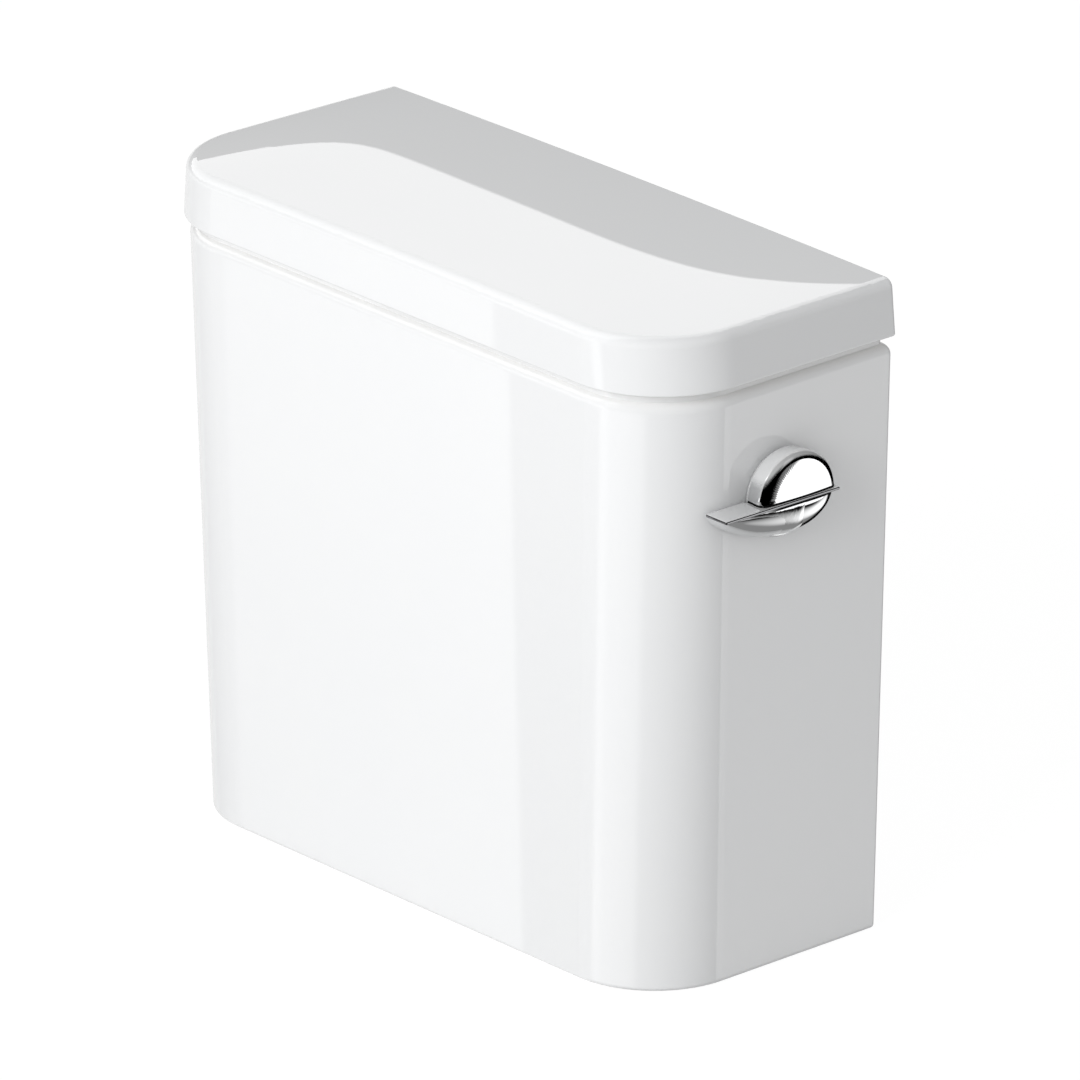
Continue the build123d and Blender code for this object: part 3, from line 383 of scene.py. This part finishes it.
# %% Lay the floor
FLOOR_SIDE = 14.0
FLOOR_Z = -0.0004
FLOOR_GREY = 0.78
FLOOR_GLOW = 1.10
GLOW_SHARE = 0.86


def floor_finish():
    material = bpy.data.materials.new("studio_floor")
    material.use_nodes = True
    material.node_tree.nodes.clear()
    start = Field(material.node_tree)
    from_camera, mirrored, through = ray_kinds(start)
    seen = from_camera.math("MINIMUM", from_camera + mirrored + through, 1.0)
    matt = start.node("BsdfDiffuse", inputs={"Color": grey(FLOOR_GREY)})
    white = start.node("Emission", inputs={"Color": grey(1.0), "Strength": FLOOR_GLOW})
    both = start.node("MixShader", inputs={0: seen * GLOW_SHARE, 1: matt, 2: white})
    both.node("OutputMaterial", inputs={"Surface": both})
    return material


floor_mesh = bpy.data.meshes.new("floor")
half = FLOOR_SIDE / 2
corners = [(x * half, y * half, FLOOR_Z) for x, y in ((-1, -1), (1, -1), (1, 1), (-1, 1))]
floor_mesh.from_pydata(corners, [], [(0, 1, 2, 3)])
floor = bpy.data.objects.new("floor", floor_mesh)
floor.data.materials.append(floor_finish())
floor.visible_glossy = False
scene.collection.objects.link(floor)
scene.view_settings.view_transform = "Standard"
print("floor at", FLOOR_Z)

# %% [markdown]
# ## Finishes
# Each finish has one function. They share a start and an end. The start is a new material and the place on
# the piece in metres. Between them comes `cloud`, soft random variation at a named size, because real
# surfaces are never one flat colour.

# %% Start and end a finish
# Black painted in place of shade and of dark reflections
PAINTED_SHADE_BLACK = (0.006, 0.006, 0.0065, 1.0)
CLOUD_ROUGHNESS = 0.5


def new_finish(name):
    material = bpy.data.materials.new(name)
    material.use_nodes = True
    material.node_tree.nodes.clear()
    return material, Field(material.node_tree).node("TexCoord", out="Object")


def cloud(place, size, detail=3.0):
    """Random variation round one half, with patches of about this size in metres."""
    inputs = {"Vector": place, "Scale": 1 / size, "Detail": detail, "Roughness": CLOUD_ROUGHNESS}
    return place.node("TexNoise", {"noise_dimensions": "3D"}, inputs)


def bumped(height, depth, strength=1.0, over=None):
    """Surface direction tilted as if the surface rose by depth, in metres, where height is 1."""
    inputs = {"Height": height, "Distance": depth, "Strength": strength}
    if over is not None:
        inputs["Normal"] = over
    return height.node("Bump", inputs=inputs)


def close_finish(place, dark=None, **sockets):
    """End a finish. Where dark is 1 the surface is painted matt black: painted shade and painted dark
    reflection.
    """
    names = {key.replace("_", " ").title().replace("Ior", "IOR"): value for key, value in sockets.items()}
    surface = place.node("BsdfPrincipled", inputs=names)
    if dark is not None:
        # Painted shade: where the mask is 1 the surface turns matt black
        painted_black = place.node("BsdfDiffuse", inputs={"Color": PAINTED_SHADE_BLACK})
        surface = place.node("MixShader", inputs={0: dark, 1: surface, 2: painted_black})
    surface.node("OutputMaterial", inputs={"Surface": surface})


print("finish helpers ready")

# %% [markdown]
# ### The lid's crown
# In the kiln the lid's top slumps: it goes flat in the middle and falls off at the ends. The change is about
# a millimetre over the whole lid, too little to see as a shape, but it bends the border between cloth and
# room on the lid. So it is a bump, whose height is written as a sum over x and y, and it works on the top
# face alone.

# %% The slump of the lid
LID_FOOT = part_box("lid")[0].z
LID_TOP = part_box("lid")[1].z
TOP_FROM = 0.004
TOP_FULL = 0.0025
CROWN_MIDDLE = -0.0293
RISE_ACROSS = 0.0386
FALL_ALONG = 0.0864
RIGHT_REACH = 0.194
RIGHT_POWER = 5.2372
RIGHT_FALL = 8.175e-4
LEFT_REACH = 0.1741
LEFT_POWER = 11.264
LEFT_FALL = 3.921e-4


def slumped(x, y):
    """Height in metres that the crown gains or loses at a place on the lid."""
    from_middle = y - CROWN_MIDDLE
    right = (x.or_more(0.0) / RIGHT_REACH) ** RIGHT_POWER
    left = ((0 - x).or_more(0.0) / LEFT_REACH) ** LEFT_POWER
    crown = x * x * RISE_ACROSS - from_middle * from_middle * FALL_ALONG
    return crown - right * RIGHT_FALL - left * LEFT_FALL


def lid_crown(place):
    x, y, z = place.axes()
    return bumped(slumped(x, y), 1.0, z.step(LID_TOP - TOP_FROM, LID_TOP - TOP_FULL))


print("lid's top at", round(LID_TOP, 4))

# %% [markdown]
# ### Glazed china
# Vitreous china is sprayed with a white glaze about half a millimetre thick. Its gloss is even, but the
# glaze flows a little in the kiln, so reflections bend very gently. Where the piece stood in the kiln it
# has no glaze and shows dry clay: under the tank's foot and along the lid's lower rim, on faces that look
# down.

# %% China for the tank and the lid
GLAZE_LIGHT = (0.925, 0.930, 0.934)
GLAZE_COOL = (0.905, 0.915, 0.925)
BARE_CLAY = (0.84, 0.81, 0.76)
TINT_PATCH = 0.12
GLOSS_PATCH = 0.03
FLOW_PATCH = 0.06
FLOW_DEPTH = 0.00001
FLOW_STRENGTH = 0.05
GLAZE_ROUGHNESS = 0.004
CLAY_ROUGHNESS = 0.6
GLAZE_IOR = 1.52
CLAY_EDGE = 0.0006
LOOKS_DOWN = (-0.9, -0.7)
TANK_CLAY_TOP = 0.0002
LID_RIM_ROUND = 0.0073
LID_CLAY_TOP = LID_FOOT + LID_RIM_ROUND


def glazed_china(name, clay_top, crown=None):
    material, place = new_finish(name)
    low = 1 - place.axes()[2].step(clay_top, clay_top + CLAY_EDGE)
    bare_clay_and_painted_grey = low * (1 - place.node("NewGeometry", out="Normal").axes()[2].step(*LOOKS_DOWN))
    colour = mixed(bare_clay_and_painted_grey, mixed(cloud(place, TINT_PATCH), GLAZE_COOL, GLAZE_LIGHT), BARE_CLAY)
    roughness = GLAZE_ROUGHNESS + cloud(place, GLOSS_PATCH) * GLAZE_ROUGHNESS + bare_clay_and_painted_grey * CLAY_ROUGHNESS
    flow = cloud(place, FLOW_PATCH, detail=1.0)
    shape = crown(place) if crown else None
    close_finish(place, base_color=colour, roughness=roughness, ior=GLAZE_IOR,
                 normal=bumped(flow, FLOW_DEPTH, FLOW_STRENGTH, shape))
    return material


tank_china = glazed_china("tank_china", TANK_CLAY_TOP)
lid_china = glazed_china("lid_china", LID_CLAY_TOP, lid_crown)
print(tank_china.name, "and", lid_china.name)

# %% [markdown]
# ### Painted shade on the lever
# The lever is cast and chrome plated. Along the blade's outer side, where drum and blade meet, a band is
# painted black as shade and dark reflection, with a painted grey reflection line in its middle. The belly's
# rear end has a crescent painted black as a reflection of the black flags, and a painted shadow line runs
# under the blade. A chrome surface seen at a low angle mirrors fully whatever its colour, so these dark
# places aren't a darker chrome: they are masks, 1 where the finish turns matt black.

# %% Painted band, crescent and groove shade
handle_low, handle_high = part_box("flush_handle")
LEVER_HEIGHT = 0.2710
DRUM_RADIUS = 0.0265
LEVER_MIDDLE = handle_high.y - DRUM_RADIUS
# The band painted black along the blade's outer side, as shade and dark reflection
PAINTED_BAND_TOP = 0.0021
PAINTED_BAND_FOOT = -0.0010
PAINTED_BAND_DEEP_FOOT = -0.0024
PAINTED_BAND_SOFT = 0.00012
PAINTED_BAND_BLEND = 0.0001
DEEP_REACH = 0.034
DEEP_FROM = LEVER_MIDDLE - DEEP_REACH
DEEP_RUN = 0.02
# The grey line painted in the band's middle, as the reflection on the blade's edge
LINE_HEIGHT = -0.0002
LINE_CORE = 0.0003
LINE_EDGE = 0.0006
FACES_OUT = (0.55, 0.75)
FACES_FRONT = (-0.8, -0.6)
# The belly's crescent, a painted reflection of the black flags, and its painted shadow line under the blade
CRESCENT_REACH = 0.0235
CRESCENT_DEPTH = 0.0195
CRESCENT_EDGE = (0.66, 0.76)
CRESCENT_FROM = (-0.1, 0.3)
PAINTED_GROOVE_FOOT = (-0.14, -0.125)
PAINTED_GROOVE_FROM = (-1.45, -0.6)


def lever_painted_band(place):
    """Two masks: the painted dark band of shade and reflection, and the painted grey line in its middle."""
    normal_x, normal_y, _ = place.node("TexCoord", out="Normal").axes()
    facing = normal_x.step(*FACES_OUT).or_more(1 - normal_y.step(*FACES_FRONT))
    _, y, z = place.axes()
    height = z - LEVER_HEIGHT
    deep = y.step(DEEP_FROM, DEEP_FROM + DEEP_RUN) * above(height, PAINTED_BAND_DEEP_FOOT, PAINTED_BAND_SOFT)
    band = above(height, PAINTED_BAND_FOOT, PAINTED_BAND_SOFT) + deep * below(height, PAINTED_BAND_FOOT, PAINTED_BAND_BLEND)
    band = band.math("MINIMUM", band, 1.0) * below(height, PAINTED_BAND_TOP, PAINTED_BAND_SOFT)
    return band * facing, 1 - abs(height - LINE_HEIGHT).step(LINE_CORE, LINE_EDGE)


def belly_shade(place):
    """Mask painted black: a crescent at the rear end as the mirrored flags, and a shadow line under the
    blade.
    """
    _, y, z = place.axes()
    along = (y - LEVER_MIDDLE) / CRESCENT_REACH
    down = (z - LEVER_HEIGHT) / CRESCENT_DEPTH
    painted_flag_reflection = (along * along + down * down).step(*CRESCENT_EDGE) * along.step(*CRESCENT_FROM)
    painted_groove_shade = down.step(*PAINTED_GROOVE_FOOT) * along.step(*PAINTED_GROOVE_FROM)
    return painted_flag_reflection.or_more(painted_groove_shade)


print("lever's middle at", round(LEVER_MIDDLE, 4))

# %% [markdown]
# ### Chrome
# Polished chrome mirrors the room almost perfectly, and only faint wiping marks change its roughness. The
# flat faces that look up and the plate behind the lever are a little hazy: less metallic, so that they pick
# up the lamp's light. One function makes all three chromes, and each says which masks it has.

# %% Chrome for the lever, its belly and its plate
CHROME_DARK = (0.90, 0.905, 0.91)
CHROME_LIGHT = (0.94, 0.945, 0.95)
# Grey painted on the blade's edge as its reflection
PAINTED_GREY_LINE = (0.30, 0.30, 0.31)
CHROME_PATCH = 0.02
WIPE_PATCH = 0.006
PLATE_HAZE = 0.7
LEVER_HAZE = 0.55
LOOKS_UP = (0.35, 0.6)
CHROME_ROUGHNESS = 0.012
WIPE_ROUGHNESS = 0.03
WAVE_PATCH = 0.012
WAVE_DEPTH = 0.000004
WAVE_STRENGTH = 0.4


def plate_marks(place):
    return {"haze": cloud(place, CHROME_PATCH) * PLATE_HAZE}


# The lever's haze, and its painted dark band of shade and reflection with a painted grey line
def lever_haze_and_painted_shade(place):
    painted_band, line = lever_painted_band(place)
    looks_up = place.node("TexCoord", out="Normal").axes()[2].step(*LOOKS_UP)
    return {"haze": looks_up * LEVER_HAZE, "bare_clay_and_painted_grey": painted_band * line, "dark": painted_band * (1 - line)}


# The belly's painted black crescent and painted shadow line
def belly_painted_shade(place):
    return {"dark": belly_shade(place)}


def polished_chrome(name, mask_maker):
    """Chrome with masks for haze, a painted grey line and painted black shade, where a piece has them."""
    material, place = new_finish(name)
    masks = mask_maker(place)
    colour = mixed(cloud(place, CHROME_PATCH), CHROME_DARK, CHROME_LIGHT)
    if "bare_clay_and_painted_grey" in masks:
        colour = mixed(masks["bare_clay_and_painted_grey"], colour, PAINTED_GREY_LINE)
    roughness = CHROME_ROUGHNESS + cloud(place, WIPE_PATCH, detail=5.0) * WIPE_ROUGHNESS
    wave = bumped(cloud(place, WAVE_PATCH, detail=1.0), WAVE_DEPTH, WAVE_STRENGTH)
    close_finish(place, masks.get("dark"), base_color=colour, metallic=1 - masks.get("haze", 0.0),
                 roughness=roughness, normal=wave)
    return material


plate_chrome = polished_chrome("polished_chrome", plate_marks)
lever_chrome = polished_chrome("lever_chrome", lever_haze_and_painted_shade)
belly_chrome = polished_chrome("belly_chrome", belly_painted_shade)
print("three chromes")

# %% [markdown]
# ### Screw threads
# CAD leaves the shanks plain. A thread is a ridge that climbs one pitch per turn, so its height comes from
# the place's angle round the axis and its z. It would take thousands of faces as a mesh, and as a bump it
# costs none. The bump works only near the rod's radius and between the thread's two ends.

# %% The ridge of a screw thread
# Axis, radius, pitch, lower end and upper end of each thread, in metres
screws = {
    "tank_bolts": ((0.0762, 0.0), 0.00397, 0.00141, -0.0462, 0.006),
    "fill_valve_base": ((-0.130, -0.028), 0.0111, 0.0018, -0.0402, -0.001),
    "flush_valve_body": ((0.0, 0.0), 0.030, 0.0025, -0.0342, -0.001),
    "level_screw": ((-0.130, -0.070), 0.002, 0.0012, 0.0, 0.4),
}
CUT_SHARE = 0.355
MOULDED_SHARE = 0.45
OVER_ROD = 0.0001
UNDER_ROD = 0.0008
ROD_SOFT = 0.0002


def thread(place, axis, radius, pitch, low, high, depth_share):
    """Surface direction of a thread on an upright rod. Rods at x and -x share it."""
    x, y, z = place.axes()
    aside = abs(x) - abs(axis[0])
    ahead = y - axis[1]
    turns = z / pitch + ahead.math("ARCTAN2", ahead, aside) / (2 * math.pi)
    ridge = turns.math("PINGPONG", turns, 1 / 2) * 2
    from_axis = (aside * aside + ahead * ahead) ** (1 / 2)
    outside = from_axis.step(radius + OVER_ROD, radius + OVER_ROD + ROD_SOFT)
    on_rod = (1 - outside) * from_axis.step(radius - UNDER_ROD, radius - UNDER_ROD + ROD_SOFT)
    zone = on_rod * z.step(low, low + pitch) * (1 - z.step(high - pitch, high))
    return bumped(ridge, pitch * depth_share, zone)


print(len(screws), "threads")

# %% [markdown]
# ### Brass and steel
# The brass pieces inside are turned or bent from rod, and the chain is stainless wire. Both have a fine
# grain from the tool and a little tarnish in spots, which are darker and duller.

# %% Drawn and turned metal
BRASS_LIGHT = (0.80, 0.62, 0.30)
BRASS_DARK = (0.72, 0.53, 0.24)
BRASS_TARNISH = 0.5
BRASS_ROUGHNESS = 0.16
STEEL_LIGHT = (0.68, 0.68, 0.69)
STEEL_DARK = (0.58, 0.58, 0.60)
STEEL_TARNISH = 0.15
STEEL_ROUGHNESS = 0.18
TARNISH_SHADE = 0.55
TARNISH_PATCH = 0.004
TARNISH_EDGE = (0.52, 0.68)
TARNISH_ROUGHNESS = 0.12
ROD_PATCH = 0.015
ROD_GRAIN = 0.0006
ROD_GRAIN_DEPTH = 0.000004
ROD_GRAIN_STRENGTH = 0.2
ROD_GRAIN_ROUGHNESS = 0.08


def drawn_metal(name, light, dark, tarnish, roughness, screw=None):
    material, place = new_finish(name)
    spots = cloud(place, TARNISH_PATCH, detail=5.0).step(*TARNISH_EDGE)
    grain = cloud(place, ROD_GRAIN, detail=2.0)
    clean = mixed(cloud(place, ROD_PATCH), light, dark)
    colour = mixed(spots * tarnish, clean, tuple(TARNISH_SHADE * v for v in dark))
    cut = thread(place, *screw, CUT_SHARE) if screw else None
    close_finish(place, base_color=colour, metallic=1.0,
                 roughness=roughness + grain * ROD_GRAIN_ROUGHNESS + spots * TARNISH_ROUGHNESS,
                 normal=bumped(grain, ROD_GRAIN_DEPTH, ROD_GRAIN_STRENGTH, cut))
    return material


brass_look = (BRASS_LIGHT, BRASS_DARK, BRASS_TARNISH, BRASS_ROUGHNESS)
brass = drawn_metal("bright_brass", *brass_look)
bolt_brass = drawn_metal("bolt_brass", *brass_look, screws["tank_bolts"])
steel = drawn_metal("stainless_wire", STEEL_LIGHT, STEEL_DARK, STEEL_TARNISH, STEEL_ROUGHNESS)
print(brass.name, bolt_brass.name, steel.name)

# %% [markdown]
# ### Plastics
# Moulded plastic has a fine satin grain from its mould and slightly uneven gloss. The valve parts are
# white, grey and black, and two of them and the level screw carry a moulded thread.

# %% Moulded plastic
colours_of_slot = {
    "white_plastic": ((0.86, 0.86, 0.84), (0.80, 0.80, 0.77)),
    "grey_plastic": ((0.52, 0.54, 0.57), (0.45, 0.47, 0.50)),
    "black_plastic": ((0.035, 0.035, 0.038), (0.05, 0.05, 0.053)),
}
PLASTIC_PATCH = 0.03
PLASTIC_ROUGHNESS = 0.36
MOULD_PATCH = 0.01
MOULD_ROUGHNESS = 0.12
MOULD_GRAIN = 0.0007
MOULD_GRAIN_DEPTH = 0.00002
MOULD_GRAIN_STRENGTH = 0.5


def moulded(name, light, dark, screw=None):
    material, place = new_finish(name)
    colour = mixed(cloud(place, PLASTIC_PATCH), light, dark)
    grain = cloud(place, MOULD_GRAIN, detail=2.0)
    ridge = thread(place, *screw, MOULDED_SHARE) if screw else None
    close_finish(place, base_color=colour,
                 roughness=PLASTIC_ROUGHNESS + cloud(place, MOULD_PATCH) * MOULD_ROUGHNESS,
                 normal=bumped(grain, MOULD_GRAIN_DEPTH, MOULD_GRAIN_STRENGTH, ridge))
    return material


plastics = {slot: moulded(slot, *colours) for slot, colours in colours_of_slot.items()}
print(len(plastics), "plastics")

# %% [markdown]
# ### Rubber and vinyl
# Rubber is duller than plastic and blooms to a paler tone in patches. The refill tube is soft clear vinyl,
# which looks milky because part of the light goes through it and the rest is scattered at its surface.

# %% Rubber and vinyl
RED_RUBBER = ((0.42, 0.05, 0.035), (0.34, 0.035, 0.03))
BLACK_RUBBER = ((0.028, 0.028, 0.03), (0.04, 0.04, 0.042))
RED_BLOOM = 0.35
BLACK_BLOOM = 0.3
RUBBER_ROUGHNESS = 0.62
RUBBER_PATCH = 0.004
RUBBER_GRAIN = 0.0012
RUBBER_GRAIN_DEPTH = 0.00005
SOFT_STRENGTH = 0.5
BLOOM_PATCH = 0.012
BLOOM_EDGE = (0.45, 0.75)
BLOOM_PALER = 0.12
BLOOM_ROUGHNESS = 0.2
VINYL_DARK = (0.80, 0.84, 0.84)
VINYL_LIGHT = (0.88, 0.90, 0.90)
VINYL_PATCH = 0.01
VINYL_WAVE = 0.005
VINYL_WAVE_DEPTH = 0.00003
VINYL_WAVE_STRENGTH = 0.4
VINYL_ROUGHNESS = 0.18
VINYL_HAZE = 0.15
VINYL_THROUGH = 0.65
VINYL_IOR = 1.45


def soft_rubber(name, light, dark, bloom):
    material, place = new_finish(name)
    patches = cloud(place, BLOOM_PATCH, detail=4.0).step(*BLOOM_EDGE)
    plain = mixed(cloud(place, RUBBER_PATCH), light, dark)
    colour = mixed(patches * bloom, plain, tuple(min(1.0, v + BLOOM_PALER) for v in light))
    grain = cloud(place, RUBBER_GRAIN)
    close_finish(place, base_color=colour, roughness=RUBBER_ROUGHNESS + patches * BLOOM_ROUGHNESS,
                 normal=bumped(grain, RUBBER_GRAIN_DEPTH, SOFT_STRENGTH))
    return material


def clear_vinyl():
    material, place = new_finish("clear_vinyl")
    haze = cloud(place, VINYL_PATCH, detail=2.0)
    wave = cloud(place, VINYL_WAVE, detail=1.0)
    close_finish(place, base_color=mixed(haze, VINYL_DARK, VINYL_LIGHT), ior=VINYL_IOR,
                 roughness=VINYL_ROUGHNESS + haze * VINYL_HAZE, transmission_weight=VINYL_THROUGH,
                 normal=bumped(wave, VINYL_WAVE_DEPTH, VINYL_WAVE_STRENGTH))
    return material


finish_of_slot = {
    "polished_chrome": plate_chrome,
    "bright_brass": brass,
    "stainless_wire": steel,
    **plastics,
    "flapper_rubber": soft_rubber("flapper_rubber", *RED_RUBBER, RED_BLOOM),
    "black_rubber": soft_rubber("black_rubber", *BLACK_RUBBER, BLACK_BLOOM),
    "clear_vinyl": clear_vinyl(),
}
print(len(finish_of_slot), "finishes by slot")

# %% [markdown]
# ## Dressing the solids
# A solid from CAD arrives as flat triangles. Smooth shading alone would smear light across the flat walls,
# so edges sharper than a limit stay sharp, and the Weighted Normal modifier lets the large flat faces keep
# their own direction. The rounds then roll off cleanly. Neither changes the solid's shape.

# %% Dress the solids
SHARP_EDGE = math.radians(32)
FLAT_FACE_WEIGHT = 60


def dress(node, finish):
    solid = nodes[node]
    solid.data.materials.clear()
    solid.data.materials.append(finish)
    solid.data.shade_smooth()
    solid.data.set_sharp_from_angle(angle=SHARP_EDGE)
    flat_first = solid.modifiers.new("flat_first", "WEIGHTED_NORMAL")
    flat_first.keep_sharp = True
    flat_first.weight = FLAT_FACE_WEIGHT


finish_of_node = {
    "tank_shell": tank_china,
    "lid": lid_china,
    "flush_handle": lever_chrome,
    "tank_bolts": bolt_brass,
}
for node in ("fill_valve_base", "flush_valve_body", "level_screw"):
    colours = colours_of_slot[slot_of_node[node]]
    finish_of_node[node] = moulded(node + "_threaded", *colours, screws[node])
for node, slot in slot_of_node.items():
    dress(node, finish_of_node[node] if node in finish_of_node else finish_of_slot[slot])
print(len(slot_of_node), "solids dressed")

# %% [markdown]
# ## The lever's belly
# The casting swells under the blade into a smooth belly. It is fullest under the drum and runs out to
# nothing at the lever's tip and at the drum's back edge. The sheet below is drawn over the solid's plainer
# belly: a row of sections along the lever, each nearly a quarter of a circle from the blade's edge down and
# in to the plate. A higher power makes an outline fuller, from a diamond at 1 over a circle at 2 to a
# square, and a higher taper makes it thinner towards its ends.

# %% Draw the belly over the solid
BELLY_FRONT = 0.0525
BELLY_BACK = 0.0264
BELLY_TOP = LEVER_HEIGHT - 0.0008
BELLY_LIP = 0.0012
BELLY_ROWS = 72
BELLY_COLUMNS = 28
SECTION_POWER = 2.06
FRONT_POWER = 2.0
FRONT_TAPER = 0.75
BACK_POWER = 2.6
BACK_TAPER = 0.45
FRONT_SIDE_POWER = 14.0
BACK_SIDE_POWER = 5.0
SIDE_TAPER = 1 / 5
SEAM_MERGE = 0.00002


def falling(along, power, taper):
    """1 in the belly's middle and 0 at its end, where along is 1 or -1."""
    return max(0.0, 1 - abs(along) ** power) ** taper


def belly_point(row, column):
    """Place on the belly, from its front end at row 0 and from the blade's edge at column 0."""
    along = -math.cos(math.pi * row / BELLY_ROWS)
    if along < 0:
        reach = BELLY_FRONT
        full = falling(along, FRONT_POWER, FRONT_TAPER)
        wide = falling(along, FRONT_SIDE_POWER, SIDE_TAPER)
    else:
        reach = BELLY_BACK
        full = falling(along, BACK_POWER, BACK_TAPER)
        wide = falling(along, BACK_SIDE_POWER, SIDE_TAPER)
    turn = math.pi / 2 * column / BELLY_COLUMNS
    out = (handle_high.x - BELLY_LIP - handle_low.x) * wide * math.cos(turn) ** (2 / SECTION_POWER)
    down = (BELLY_TOP - handle_low.z) * full * math.sin(turn) ** (2 / SECTION_POWER)
    return Vector((handle_low.x + out, LEVER_MIDDLE + along * reach, BELLY_TOP - down))


def draw_belly():
    sheet = bmesh.new()
    rows = [[sheet.verts.new(belly_point(row, column)) for column in range(BELLY_COLUMNS + 1)]
            for row in range(BELLY_ROWS + 1)]
    for ahead, behind in zip(rows, rows[1:]):
        for i in range(BELLY_COLUMNS):
            sheet.faces.new((ahead[i], behind[i], behind[i + 1], ahead[i + 1]))
    bmesh.ops.remove_doubles(sheet, verts=sheet.verts, dist=SEAM_MERGE)
    bmesh.ops.recalc_face_normals(sheet, faces=sheet.faces)
    if sum(face.normal.x * face.calc_area() for face in sheet.faces) < 0:
        bmesh.ops.reverse_faces(sheet, faces=sheet.faces)
    mesh = bpy.data.meshes.new("lever_belly")
    sheet.to_mesh(mesh)
    sheet.free()
    belly = bpy.data.objects.new("lever_belly", mesh)
    belly.data.materials.append(belly_chrome)
    belly.data.shade_smooth()
    scene.collection.objects.link(belly)
    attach(belly, body_of_node["flush_handle"])
    return belly


print("belly with", len(draw_belly().data.polygons), "faces")
